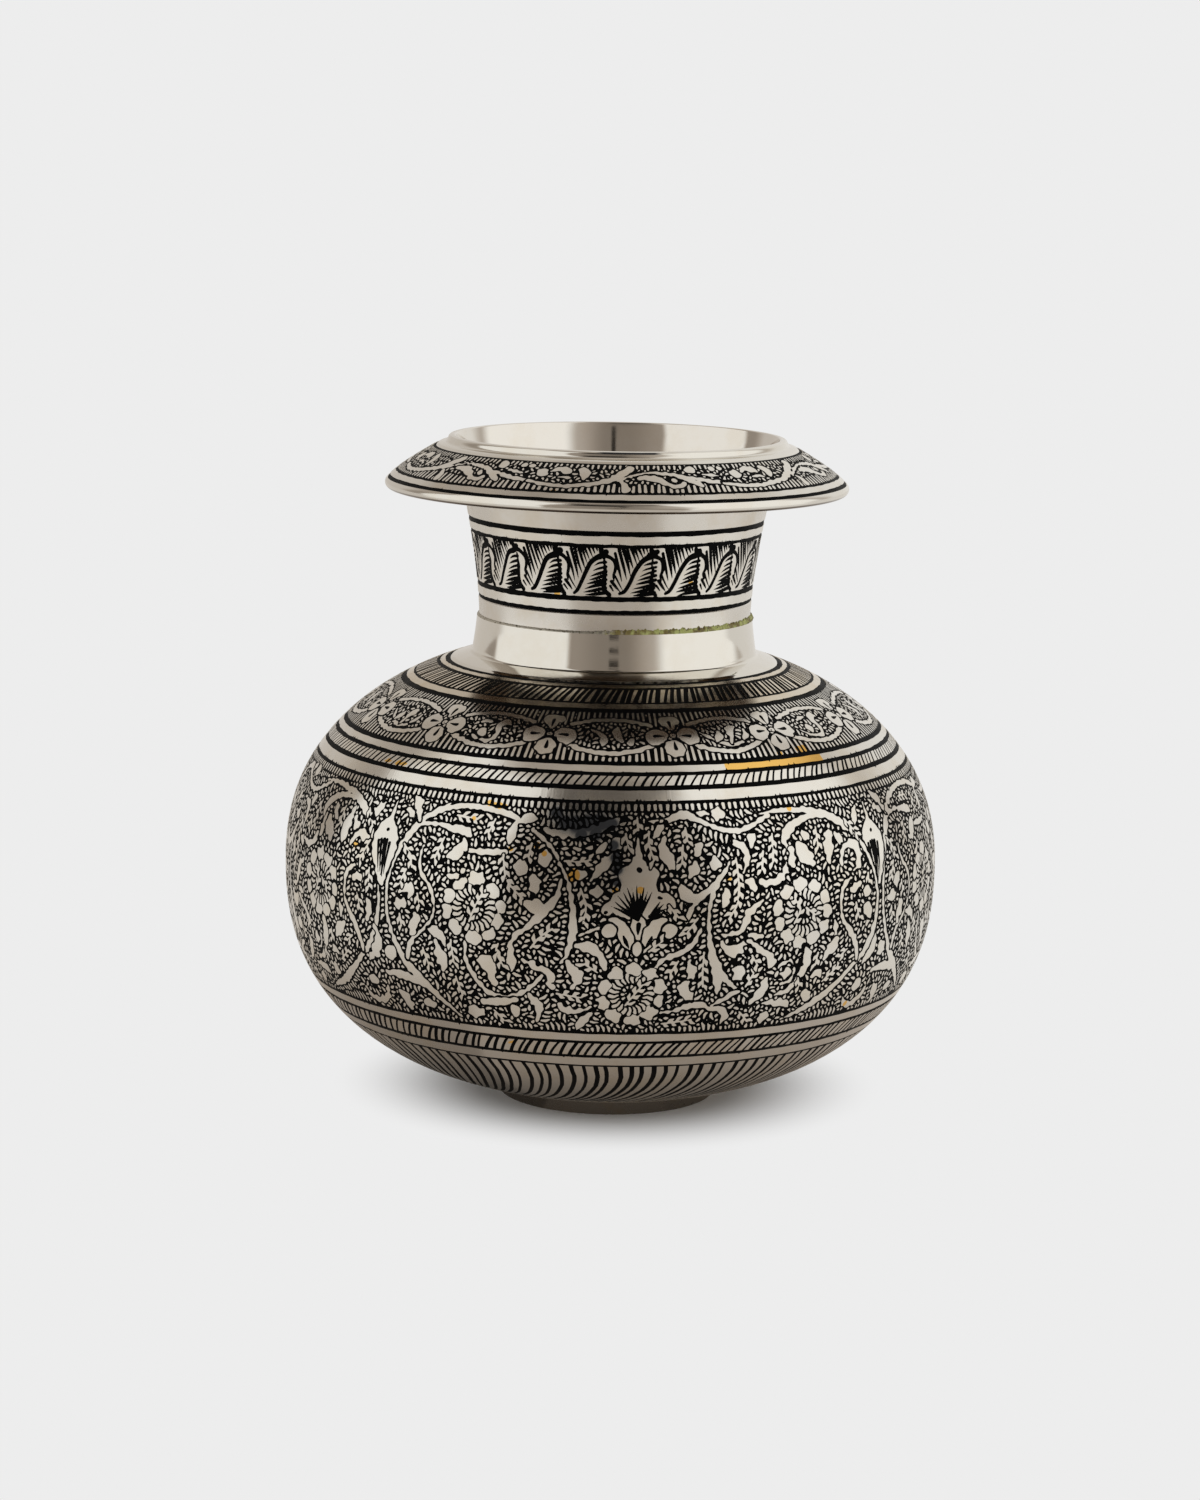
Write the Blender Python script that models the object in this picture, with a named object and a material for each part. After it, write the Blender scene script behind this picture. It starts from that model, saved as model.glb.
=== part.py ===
# Engraved brass lota: a round-bellied water pot on a low foot ring, with a flared neck and a domed rim.
# Every piece is turned or spun about the Z axis. Metres, +Z up, origin on the ground under the axis.

import math

import bmesh
import bpy
from mathutils import Vector

MM = 0.001

# Fits
FIT_GAP = 0.3 * MM
SEGMENTS = 48
SHARP_ANGLE = math.radians(35)
SHARE_STEP = 0.001

# Turned lines that frame the engraved bands
LINE_WIDTH = 0.5 * MM
LINE_DEPTH = 0.25 * MM

# Body: two spun halves that meet at the belly, the widest ring
BELLY_RADIUS = 55.0 * MM
BODY_WALL = 1.4 * MM
GROUND_CLEARANCE = 1.3 * MM
BOWL_DEPTH = 39.2 * MM
BOWL_FULLNESS = 2.4
SHOULDER_RISE = 38.0 * MM
SHOULDER_FULLNESS = 2.2
LAP_HEIGHT = 2.6 * MM

# Where the lines lie, as shares of the outline from the belly down to the axis and up to the collar
BOWL_LINES = (0.263, 0.3, 0.354, 0.394, 0.696)
SHOULDER_LINES = (0.411, 0.468, 0.527, 0.569, 0.802, 0.845, 0.904, 0.949)

# Collar: the plain upright end of the upper half
COLLAR_RADIUS = 23.5 * MM
COLLAR_RISE = 6.0 * MM
COLLAR_FILLET = 1.8 * MM

# Neck: a flared tube whose spigot stands in the collar
NECK_SETBACK = 0.7 * MM
NECK_RADIUS = COLLAR_RADIUS - NECK_SETBACK
NECK_HEIGHT = 29.9 * MM
NECK_FLARE_POWER = 1.5
SPIGOT_LENGTH = 4.2 * MM
SPIGOT_WALL = 0.9 * MM
NECK_FLARE = 5.0 * MM
LIP_WALL = 0.8 * MM
MOUTH_RADIUS = NECK_RADIUS + NECK_FLARE - LIP_WALL
LIP_ROUNDING = 0.2 * MM
NECK_LINES = (0.11, 0.178, 0.473, 0.549)

# Rim: a domed flange round the mouth
RIM_REACH = 11.6 * MM
RIM_RADIUS = MOUTH_RADIUS + RIM_REACH
RIM_DROP = 7.5 * MM
RIM_KNEE_REACH = 10.0 * MM
RIM_KNEE_DROP = 5.3 * MM
RIM_START_DROP = 0.4 * MM
RIM_THICKNESS = 1.8 * MM
RIM_LINES = (0.15, 0.645, 0.84)

# Foot ring
FOOT_RADIUS = 18.4 * MM
FOOT_FLARE = 0.6 * MM
FOOT_WIDTH = 2.0 * MM
FOOT_CHAMFER = 0.3 * MM

# Solder
BEAD_RADIUS = 0.45 * MM
FILLET_LEG = 1.3 * MM

# Colours, roughness
NICKEL_PLATE = (0.62, 0.59, 0.55)
WORN_PLATE = (0.55, 0.51, 0.46)
SOLDER_GREY = (0.46, 0.45, 0.33)


# Heights that follow from the sizes above

def ellipse_height(radius, half_width, half_height, fullness):
    """Height over the belly plane of a superellipse at a radius."""
    share = (radius / half_width) ** fullness
    return half_height * (1.0 - share) ** (1.0 / fullness)


BELLY_HEIGHT = GROUND_CLEARANCE + BOWL_DEPTH
COLLAR_FOOT = ellipse_height(COLLAR_RADIUS, BELLY_RADIUS, SHOULDER_RISE, SHOULDER_FULLNESS)
COLLAR_TOP = BELLY_HEIGHT + COLLAR_FOOT + COLLAR_RISE
NECK_SEAT = COLLAR_TOP + FIT_GAP
MOUTH_HEIGHT = NECK_SEAT + NECK_HEIGHT


# Profile curves, as lists of (radius, height)

def ellipse_point(half_width, half_height, fullness, angle):
    """Point of a superellipse at its own angle, from 0 at the belly plane to a quarter turn at the axis."""
    radius = half_width * max(math.cos(angle), 0.0) ** (2.0 / fullness)
    return (radius, half_height * math.sin(angle) ** (2.0 / fullness))


def ellipse_arc(half_width, half_height, fullness, inner_radius, steps, start_height=0.0, lines=()):
    """Superellipse from near the belly plane to an inner radius, with a turned line at each share given."""
    start = math.asin((start_height / abs(half_height)) ** (fullness / 2.0))
    end = math.acos((inner_radius / half_width) ** (fullness / 2.0))

    def point(share):
        return ellipse_point(half_width, half_height, fullness, start + (end - start) * share)

    return scored(point, steps, lines, math.copysign(1.0, half_height))


def scored(point, steps, lines, side):
    """Points of a curve at even shares, and three more for the V of each turned line cut into its outer side."""
    half_line = LINE_WIDTH / 2.0
    points = {}
    for step in range(steps + 1):
        share = step / steps
        if all(abs(share - line) > 0.5 / steps for line in lines):
            points[share] = [point(share)]
    for line in lines:
        here = Vector(point(line))
        along = (Vector(point(line + SHARE_STEP)) - Vector(point(line - SHARE_STEP))).normalized()
        outwards = Vector((along.y, -along.x)) * side
        points[line] = [
            tuple(here - along * half_line), tuple(here - outwards * LINE_DEPTH), tuple(here + along * half_line)]
    return [corner for share in sorted(points) for corner in points[share]]


def bezier_point(first, control, last, share):
    """Point of a quadratic curve that leaves the first point towards the control."""
    a, b, c = (1 - share) ** 2, 2 * share * (1 - share), share ** 2
    return (a * first[0] + b * control[0] + c * last[0], a * first[1] + b * control[1] + c * last[1])


def bezier(first, control, last, steps):
    """The same curve as a list of points."""
    return [bezier_point(first, control, last, step / steps) for step in range(steps + 1)]


def offset_curve(points, distance):
    """The same curve moved sideways, to the right of its direction of travel."""
    moved = []
    for index, point in enumerate(points):
        before = points[max(index - 1, 0)]
        after = points[min(index + 1, len(points) - 1)]
        along = Vector((after[0] - before[0], after[1] - before[1])).normalized()
        moved.append((point[0] + along.y * distance, point[1] - along.x * distance))
    return moved


def arc(centre, radius, start_angle, end_angle, steps):
    """Circular arc between two angles, counted from the radial direction upwards."""
    points = []
    for step in range(steps + 1):
        angle = start_angle + (end_angle - start_angle) * step / steps
        points.append((centre[0] + radius * math.cos(angle), centre[1] + radius * math.sin(angle)))
    return points


def neck_radius(height):
    """Outer radius of the neck at a height over its seat: it flares by a power of the height."""
    share = height / NECK_HEIGHT
    return NECK_RADIUS + NECK_FLARE * share ** NECK_FLARE_POWER


def neck_bore(height):
    """Inner radius of the neck at a height over its seat."""
    bore = COLLAR_RADIUS - BODY_WALL - FIT_GAP - SPIGOT_WALL
    share = height / NECK_HEIGHT
    return bore + (MOUTH_RADIUS - bore) * share ** NECK_FLARE_POWER


# Profiles of the pieces: down the outer side, then up the inner side

def lower_bowl_profile():
    """Deep bowl with a closed bottom and a thin tongue that stands inside the upper half."""
    lap_wall = (BODY_WALL - FIT_GAP) / 2.0
    inner_width = BELLY_RADIUS - BODY_WALL
    outer = ellipse_arc(BELLY_RADIUS, -BOWL_DEPTH, BOWL_FULLNESS, 0.0, 12, lines=BOWL_LINES)
    inner = ellipse_arc(inner_width, -(BOWL_DEPTH - BODY_WALL), BOWL_FULLNESS, 0.0, 8)
    step = [(inner_width, LAP_HEIGHT), (inner_width + lap_wall, LAP_HEIGHT), (inner_width + lap_wall, 0.0)]
    return list(reversed(inner)) + step + outer


def upper_shoulder_profile():
    """Shoulder that sweeps in from the belly and turns up into the collar, with a rebate for the tongue."""
    lap_wall = (BODY_WALL - FIT_GAP) / 2.0
    top = COLLAR_FOOT + COLLAR_RISE
    bore = COLLAR_RADIUS - BODY_WALL
    inner_width = BELLY_RADIUS - BODY_WALL
    inner_rise = SHOULDER_RISE - BODY_WALL
    outer = ellipse_arc(
        BELLY_RADIUS, SHOULDER_RISE, SHOULDER_FULLNESS, COLLAR_RADIUS + COLLAR_FILLET, 9, FIT_GAP, SHOULDER_LINES)
    bend = bezier((COLLAR_RADIUS, COLLAR_FOOT + COLLAR_FILLET), (COLLAR_RADIUS, COLLAR_FOOT), outer[-1], 4)
    rebate = [(BELLY_RADIUS - lap_wall, FIT_GAP), (BELLY_RADIUS - lap_wall, LAP_HEIGHT + FIT_GAP)]
    inner_start = LAP_HEIGHT + FIT_GAP
    inner_bend = COLLAR_FILLET + BODY_WALL
    inner = ellipse_arc(inner_width, inner_rise, SHOULDER_FULLNESS, bore + inner_bend, 7, inner_start)
    corner = (bore, ellipse_height(bore, inner_width, inner_rise, SHOULDER_FULLNESS))
    turn = bezier(inner[-1], corner, (bore, corner[1] + inner_bend), 4)
    outer_side = [(COLLAR_RADIUS, top)] + bend[:-1] + list(reversed(outer))
    return outer_side + rebate + inner + turn[1:] + [(bore, top)]


def neck_tube_profile():
    """Flared neck over a seat, with a plain spigot below it and a thin rounded lip."""
    spigot = COLLAR_RADIUS - BODY_WALL - FIT_GAP
    steps = 6

    def outer_point(share):
        return (neck_radius(max(share, 0.0) * NECK_HEIGHT), share * NECK_HEIGHT)

    outer = list(reversed(scored(outer_point, steps, NECK_LINES, 1.0)))[1:]
    inner = [(neck_bore(NECK_HEIGHT * step / steps), NECK_HEIGHT * step / steps) for step in range(steps)]
    side = NECK_HEIGHT - LIP_ROUNDING
    lip_outer = MOUTH_RADIUS + LIP_WALL
    lip_inside = [(MOUTH_RADIUS, side), (MOUTH_RADIUS + LIP_ROUNDING, NECK_HEIGHT)]
    lip_outside = [(lip_outer - LIP_ROUNDING, NECK_HEIGHT), (lip_outer, side)]
    foot = [(spigot, 0.0), (spigot, -SPIGOT_LENGTH), (spigot - SPIGOT_WALL, -SPIGOT_LENGTH)]
    return lip_outside + outer + foot + inner + lip_inside


def rim_top_point(share):
    """Point on the top of the flange, from its bore at 0 to where the round edge begins at 1."""
    start = (MOUTH_RADIUS + LIP_WALL + FIT_GAP, -RIM_START_DROP)
    return bezier_point(start, (MOUTH_RADIUS + RIM_KNEE_REACH, -RIM_KNEE_DROP), (RIM_RADIUS, -RIM_DROP), share)


def rim_top_curve(steps=7):
    """The top of the flange without its turned lines."""
    return [rim_top_point(step / steps) for step in range(steps + 1)]


def rim_flange_profile():
    """Domed strip of even thickness with a round outer edge, bored to follow the neck."""
    top = scored(rim_top_point, 7, RIM_LINES, -1.0)
    under = offset_curve(rim_top_curve(), RIM_THICKNESS)
    middle = ((top[-1][0] + under[-1][0]) / 2.0, (top[-1][1] + under[-1][1]) / 2.0)
    facing = math.atan2(top[-1][1] - middle[1], top[-1][0] - middle[0])
    edge = arc(middle, RIM_THICKNESS / 2.0, facing, facing - math.pi, 6)
    bore_end = (neck_radius(NECK_HEIGHT + under[0][1]) + FIT_GAP, under[0][1])
    return top[:-1] + edge + list(reversed(under[1:-1])) + [bore_end]


def foot_ring_profile():
    """Low ring, flared to its top, whose upper face follows the bottom of the bowl at the fit gap."""
    inner_radius = FOOT_RADIUS - FOOT_WIDTH
    top_radius = FOOT_RADIUS + FOOT_FLARE

    def top_height(radius):
        rise = ellipse_height(radius, BELLY_RADIUS, BOWL_DEPTH, BOWL_FULLNESS)
        return BELLY_HEIGHT - rise - FIT_GAP

    outer = [(top_radius, top_height(top_radius)), (FOOT_RADIUS, FOOT_CHAMFER)]
    face = [(FOOT_RADIUS - FOOT_CHAMFER, 0.0), (inner_radius + FOOT_CHAMFER, 0.0)]
    inner = [(inner_radius, FOOT_CHAMFER), (inner_radius, top_height(inner_radius))]
    return outer + face + inner


def neck_solder_profile():
    """Round bead that lies on the collar's top edge against the neck."""
    centre = (NECK_RADIUS + FIT_GAP + BEAD_RADIUS, BEAD_RADIUS)
    return arc(centre, BEAD_RADIUS, math.pi / 2.0, -math.pi * 3.0 / 2.0, 8)[:-1]


def rim_solder_profile():
    """Three-cornered fillet between the neck and the underside of the flange."""
    face = offset_curve(rim_top_curve(), RIM_THICKNESS + FIT_GAP)
    slope = (face[1][1] - face[0][1]) / (face[1][0] - face[0][0])
    start = neck_radius(NECK_HEIGHT + face[0][1]) + FIT_GAP
    top = face[0][1] + slope * (start - face[0][0])
    low = top - FILLET_LEG
    outer_corner = (start + FILLET_LEG, top + slope * FILLET_LEG)
    return [(start, top), outer_corner, (neck_radius(NECK_HEIGHT + low) + FIT_GAP, low)]


# Building

def clear_scene():
    for thing in list(bpy.data.objects):
        bpy.data.objects.remove(thing, do_unlink=True)


def make_material(name, colour, roughness):
    material = bpy.data.materials.new(name)
    material.use_nodes = True
    shader = material.node_tree.nodes["Principled BSDF"]
    shader.inputs["Base Color"].default_value = (*colour, 1.0)
    shader.inputs["Metallic"].default_value = 1.0
    shader.inputs["Roughness"].default_value = roughness
    return material


def turn(name, profile, closed, height, parent, colour, roughness):
    """Spin a profile once round the Z axis into a named piece that stands at a height."""
    mesh_tool = bmesh.new()
    corners = [mesh_tool.verts.new((radius, 0.0, level)) for radius, level in profile]
    edges = [mesh_tool.edges.new(pair) for pair in zip(corners, corners[1:])]
    if closed:
        edges.append(mesh_tool.edges.new((corners[-1], corners[0])))
    bmesh.ops.spin(
        mesh_tool, geom=corners + edges, cent=(0.0, 0.0, 0.0), axis=(0.0, 0.0, 1.0),
        angle=math.tau, steps=SEGMENTS, use_merge=True)
    bmesh.ops.remove_doubles(mesh_tool, verts=mesh_tool.verts, dist=0.001 * MM)
    bmesh.ops.recalc_face_normals(mesh_tool, faces=mesh_tool.faces)
    mesh = bpy.data.meshes.new(name)
    mesh_tool.to_mesh(mesh)
    mesh_tool.free()
    mesh.shade_smooth()
    mesh.set_sharp_from_angle(angle=SHARP_ANGLE)
    mesh.materials.append(make_material(name, colour, roughness))
    piece = bpy.data.objects.new(name, mesh)
    piece.location.z = height
    piece.parent = parent
    bpy.context.collection.objects.link(piece)
    return piece


def build_lota():
    clear_scene()
    pot = bpy.data.objects.new("lota", None)
    bpy.context.collection.objects.link(pot)
    turn("foot_ring", foot_ring_profile(), True, 0.0, pot, WORN_PLATE, 0.4)
    turn("lower_bowl", lower_bowl_profile(), False, BELLY_HEIGHT, pot, NICKEL_PLATE, 0.25)
    turn("upper_shoulder", upper_shoulder_profile(), True, BELLY_HEIGHT, pot, NICKEL_PLATE, 0.22)
    turn("neck_solder", neck_solder_profile(), True, NECK_SEAT, pot, SOLDER_GREY, 0.55)
    turn("neck_tube", neck_tube_profile(), True, NECK_SEAT, pot, NICKEL_PLATE, 0.22)
    turn("rim_flange", rim_flange_profile(), True, MOUTH_HEIGHT, pot, NICKEL_PLATE, 0.2)
    turn("rim_solder", rim_solder_profile(), True, MOUTH_HEIGHT, pot, SOLDER_GREY, 0.55)


build_lota()
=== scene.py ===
import bmesh
import bpy
import numpy as np
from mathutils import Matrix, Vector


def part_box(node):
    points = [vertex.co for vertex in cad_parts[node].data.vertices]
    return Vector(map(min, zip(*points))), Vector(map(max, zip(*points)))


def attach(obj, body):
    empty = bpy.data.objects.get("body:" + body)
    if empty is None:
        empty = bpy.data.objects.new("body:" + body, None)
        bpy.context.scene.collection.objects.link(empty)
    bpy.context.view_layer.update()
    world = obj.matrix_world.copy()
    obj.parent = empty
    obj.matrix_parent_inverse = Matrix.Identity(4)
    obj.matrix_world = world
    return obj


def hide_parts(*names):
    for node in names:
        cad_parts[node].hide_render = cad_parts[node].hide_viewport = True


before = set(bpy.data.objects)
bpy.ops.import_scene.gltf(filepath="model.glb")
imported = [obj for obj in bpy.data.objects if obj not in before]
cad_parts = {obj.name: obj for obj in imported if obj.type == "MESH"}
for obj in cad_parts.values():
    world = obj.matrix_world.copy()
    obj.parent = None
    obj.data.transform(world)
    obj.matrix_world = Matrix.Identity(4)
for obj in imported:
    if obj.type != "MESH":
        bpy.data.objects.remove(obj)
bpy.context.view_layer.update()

MM = 0.001

# The studio: a pale glowing table and wall, lit evenly. The metal sees more: a softbox on each side, the dim
# room behind the camera with a dark stand and canopy in it, and the table glowing with painted light under
# the softboxes and a painted shadow round the pot. The camera stands 66 cm from the pot, a little above the
# rim, and leans by one degree.

CAMERA_DISTANCE = 0.66
CAMERA_AIM = 58.72 * MM
CAMERA_ELEVATION = np.radians(9.75)
CAMERA_LEAN = np.radians(1.05)
CAMERA_FOCAL = 93.6
CAMERA_SENSOR = 36.0
CAMERA_SHIFT = -0.00816
CAMERA_FAR_END = 100.0

camera_data = bpy.data.cameras.new("camera")
camera_data.lens = CAMERA_FOCAL
camera_data.sensor_width = CAMERA_SENSOR
camera_data.shift_x = CAMERA_SHIFT
camera_data.clip_end = CAMERA_FAR_END
camera = bpy.data.objects.new("camera", camera_data)
bpy.context.scene.collection.objects.link(camera)
camera_rise = CAMERA_AIM + CAMERA_DISTANCE * np.sin(CAMERA_ELEVATION)
camera.location = (0.0, -CAMERA_DISTANCE * np.cos(CAMERA_ELEVATION), camera_rise)
camera.rotation_mode = "QUATERNION"
half_tilt, half_lean = (np.pi / 2 - CAMERA_ELEVATION) / 2, CAMERA_LEAN / 2
camera.rotation_quaternion = (
    np.cos(half_tilt) * np.cos(half_lean), np.sin(half_tilt) * np.cos(half_lean),
    -np.sin(half_tilt) * np.sin(half_lean), np.cos(half_tilt) * np.sin(half_lean))
bpy.context.scene.camera = camera


def set_input(tree, socket, value):
    """Links an input to a socket, or sets it to a number or colour."""
    if isinstance(value, bpy.types.NodeSocket):
        tree.links.new(value, socket)
    else:
        socket.default_value = value


def add_node(tree, kind, values=(), **settings):
    """Adds a shader node, sets its properties by name, and fills its inputs by name or number."""
    made = tree.nodes.new("ShaderNode" + kind)
    for key, setting in settings.items():
        setattr(made, key, setting)
    for key, value in dict(values).items():
        set_input(tree, made.inputs[key], value)
    return made


def maths(tree, operation, *terms):
    """One Math node; its terms are sockets or numbers."""
    return add_node(tree, "Math", enumerate(terms), operation=operation).outputs[0]


def times(tree, first, second):
    """First x second."""
    return maths(tree, "MULTIPLY", first, second)


def plus(tree, first, second, share=1.0):
    """First + share x second."""
    return maths(tree, "ADD", first, second if share == 1.0 else times(tree, second, share))


def distance(tree, x, y):
    """Square root of x^2 + y^2."""
    return maths(tree, "SQRT", plus(tree, times(tree, x, x), times(tree, y, y)))


def fade(tree, value, low, high, start=0.0, end=1.0):
    """Smooth step: start below low, end above high."""
    values = {"Value": value, "From Min": low, "From Max": high, "To Min": start, "To Max": end}
    return add_node(tree, "MapRange", values, interpolation_type="SMOOTHSTEP").outputs[0]


def mix_colours(tree, share, first, second, kind="MIX"):
    """Mix node between two colours; the share is a socket or a number."""
    made = add_node(tree, "Mix", data_type="RGBA", blend_type=kind)
    set_input(tree, made.inputs[0], share)
    for socket, colour in ((made.inputs[6], first), (made.inputs[7], second)):
        set_input(tree, socket, (*colour, 1.0) if isinstance(colour, tuple) else colour)
    return made.outputs[2]


def noise(tree, where, scale, detail, **values):
    """Noise texture at a place."""
    values = {"Vector": where, "Scale": scale, "Detail": detail, **values}
    return add_node(tree, "TexNoise", values).outputs[0]


def roughened(tree, value, texture, share, middle=0.5):
    """Value + share x (texture - middle)."""
    return plus(tree, value, maths(tree, "SUBTRACT", texture, middle), share)


def clear_tree(holder):
    """Empties a node tree and hands it back."""
    holder.use_nodes = True
    holder.node_tree.nodes.clear()
    return holder.node_tree


def blend(tree, share, first, second):
    """First and second levels blended by a share, all sockets or numbers."""
    return plus(tree, times(tree, maths(tree, "SUBTRACT", 1.0, share), first), times(tree, share, second))


def between(tree, value, low, high, soft):
    """One inside the two limits, falling to zero over a soft margin outside them."""
    rising = fade(tree, value, low - soft, low + soft)
    return times(tree, rising, fade(tree, value, high - soft, high + soft, 1.0, 0.0))


BACKGROUND = (0.847, 0.847, 0.847)
WARM_DIM = (1.0, 0.86, 0.73)
SOFTBOX_WHITE = (1.0, 0.985, 0.95)


def tinted(tree, level):
    """Light of a level: the dim parts of the room are warm, the softboxes nearly white."""
    colour = mix_colours(tree, fade(tree, level, 0.2, 0.95), WARM_DIM, SOFTBOX_WHITE)
    return {"Color": colour, "Strength": level}


# Bearings are in radians from the camera's side of the pot, to the right; heights are in radians above level.
# A softbox is (start, end, level, top, softness of its edge); the other parts of the room are pairs of
# (start, end, softness), in bearing and in height.

LEFT_BOX = (-1.95, -0.655, 0.98, 1.12, 0.06)
RIGHT_BOX = (0.655, 2.05, 1.04, 1.2, 0.14)
FRONT_LEVEL = 0.25
LEFT_LEVEL = 0.34
RIGHT_LEVEL = 0.50
OVERHEAD_LEVEL = 0.50
BACK_LEFT_LEVEL = 0.6
BACK_RIGHT_LEVEL = 0.84
BACK_LEFT_CORNER = ((-2.5, -2.05, 0.1), (0.5, 1.0, 0.15))
BACK_LEFT_CORNER_LEVEL = 0.42
CANOPY = ((-0.75, 0.75, 0.15), (0.95, 1.2, 0.05))
CANOPY_LEVEL = 0.12
DARK_PATCH = ((-0.49, 0.12, 0.07), (0.66, 1.06, 0.06))
STAND = ((0.03, 0.088, 0.008), (0.25, 0.6, 0.03))
CLAMP_HEIGHTS = [(0.152, 0.212, 0.006), (0.096, 0.118, 0.003), (0.024, 0.05, 0.003)]
CLAMPS = [((-0.07, 0.065, 0.015), upward) for upward in CLAMP_HEIGHTS]
DARK_LEVEL = 0.03
FRONT_TO_SIDE = (0.14, 0.6)
SIDE_TO_BACK = (2.1, 2.4)
BACK_WALL_DIMS = (1.0, 1.25, 1.0, 0.62)
OVERHEAD_HEIGHTS = (1.22, 1.45)

world = bpy.data.worlds.new("studio")
bpy.context.scene.world = world
sky = clear_tree(world)
direction = add_node(sky, "SeparateXYZ", {"Vector": add_node(sky, "TexCoord").outputs["Generated"]}).outputs
bearing = maths(sky, "ARCTAN2", direction[0], times(sky, direction[1], -1.0))
side = maths(sky, "ABSOLUTE", bearing)
height = maths(sky, "ARCSINE", direction[2])
rightward = fade(sky, direction[0], -0.3, 0.3)


def part_of_room(across, upward):
    """Share of a part of the room, one inside its limits of bearing and height."""
    return times(sky, between(sky, bearing, *across), between(sky, height, *upward))


room = blend(sky, rightward, LEFT_LEVEL, RIGHT_LEVEL)
room = blend(sky, fade(sky, side, *FRONT_TO_SIDE), FRONT_LEVEL, room)
back = blend(sky, rightward, BACK_LEFT_LEVEL, BACK_RIGHT_LEVEL)
back = times(sky, back, fade(sky, height, *BACK_WALL_DIMS))
room = blend(sky, fade(sky, side, *SIDE_TO_BACK), room, back)
room = blend(sky, part_of_room(*BACK_LEFT_CORNER), room, BACK_LEFT_CORNER_LEVEL)
room = blend(sky, fade(sky, height, *OVERHEAD_HEIGHTS), room, OVERHEAD_LEVEL)
room = blend(sky, part_of_room(*CANOPY), room, CANOPY_LEVEL)
for start, end, box_level, top, soft in (LEFT_BOX, RIGHT_BOX):
    below_top = fade(sky, height, top - soft, top + soft, 1.0, 0.0)
    room = blend(sky, times(sky, between(sky, bearing, start, end, soft * 0.8), below_top), room, box_level)
dark = part_of_room(*DARK_PATCH)
for thing in (STAND, *CLAMPS):
    dark = maths(sky, "MAXIMUM", dark, part_of_room(*thing))
room = blend(sky, dark, room, DARK_LEVEL)
seen_by_metal = add_node(sky, "Background", tinted(sky, room))
even_light = add_node(sky, "Background", {"Color": (1.0, 1.0, 1.0, 1.0), "Strength": 1.0})
backdrop = add_node(sky, "Background", {"Color": (*BACKGROUND, 1.0), "Strength": 1.0})
ray = add_node(sky, "LightPath")
lit = add_node(sky, "MixShader", {
    0: ray.outputs["Is Glossy Ray"], 1: even_light.outputs[0], 2: seen_by_metal.outputs[0]})
shown = add_node(sky, "MixShader", {
    0: ray.outputs["Is Camera Ray"], 1: lit.outputs[0], 2: backdrop.outputs[0]})
add_node(sky, "OutputWorld", {"Surface": shown.outputs[0]})


def new_mesh(name, points, faces):
    """Mesh from an array of points and an array of faces with three or four corners each."""
    mesh = bpy.data.meshes.new(name)
    corners = faces.shape[1]
    mesh.vertices.add(len(points))
    mesh.vertices.foreach_set("co", points.astype(np.float32).ravel())
    mesh.loops.add(faces.size)
    mesh.loops.foreach_set("vertex_index", faces.astype(np.int32).ravel())
    mesh.polygons.add(len(faces))
    mesh.polygons.foreach_set("loop_start", np.arange(0, faces.size, corners, dtype=np.int32))
    mesh.update(calc_edges=True)
    mesh.validate()
    return mesh


def place(name, mesh, material, crease=0):
    """Object for a finished mesh, at the origin, shaded smooth but for bends sharper than the crease."""
    if crease:
        mesh.shade_smooth()
        mesh.set_sharp_from_angle(angle=np.radians(crease))
    mesh.materials.append(material)
    piece = bpy.data.objects.new(name, mesh)
    bpy.context.scene.collection.objects.link(piece)
    return piece


# The table glows in the backdrop's colour for the eye, and turns matt under the pot, where its shadow lies.
# For the metal it glows with painted light and shade instead: a painted shadow, dim near the pot's foot, and
# painted light growing far out, brighter under the softboxes than in front. A reach is (from, to, value
# before, value after), in metres from the pot's axis.

TABLE_SIZE = 12.0
SHADOW_FROM = 21.0 * MM
SHADOW_TO = 48.0 * MM
SHADOW_BACK = 5.0 * MM
TABLE_BEHIND = (1.75, 1.95)
TABLE_RIGHT = (0.56, 0.66)
TABLE_LEFT = (-0.635, -0.605)
TABLE_FAR = (0.24, 0.47)
BOX_EDGES = ((-0.58, -0.53, 0.01), (0.545, 0.58, 0.01))
BOX_EDGE_REACH = (0.4, 0.5, 0.0, 0.3)
BOX_EDGE_LEVEL = 0.6
NEAR_FRONT = (-0.02, 0.10, 0.10, 0.57)
FAR_FRONT = (0.17, 0.45)
FAR_FRONT_LEVEL = 0.31
STREAK = (-0.03, 0.03, 0.09)
STREAK_REACH = (0.2, 0.4, 0.0, 0.6)
STREAK_LEVEL = 0.10
PAINTED_POT_SHADOW = (0.016, 0.05, 0.3, 1.0)
PAINTED_FOOT_SHADE = 0.08

table_material = bpy.data.materials.new("table_white")
table = clear_tree(table_material)
spot = add_node(table, "SeparateXYZ", {"Vector": add_node(table, "TexCoord").outputs["Object"]}).outputs
reach = distance(table, spot[0], spot[1])
table_bearing = maths(table, "ARCTAN2", spot[0], times(table, spot[1], -1.0))
behind = fade(table, maths(table, "ABSOLUTE", table_bearing), *TABLE_BEHIND)


def table_side(dim_end, bright_from, near_level, far_level, behind_level):
    """The table under one softbox as the metal sees it: painted light growing outwards from painted shade at
    the foot, with a limit behind the pot.
    """
    near = fade(table, reach, dim_end, bright_from, PAINTED_FOOT_SHADE, near_level)
    level = blend(table, fade(table, reach, *TABLE_FAR), near, far_level)
    return blend(table, behind, level, maths(table, "MINIMUM", level, behind_level))


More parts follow.
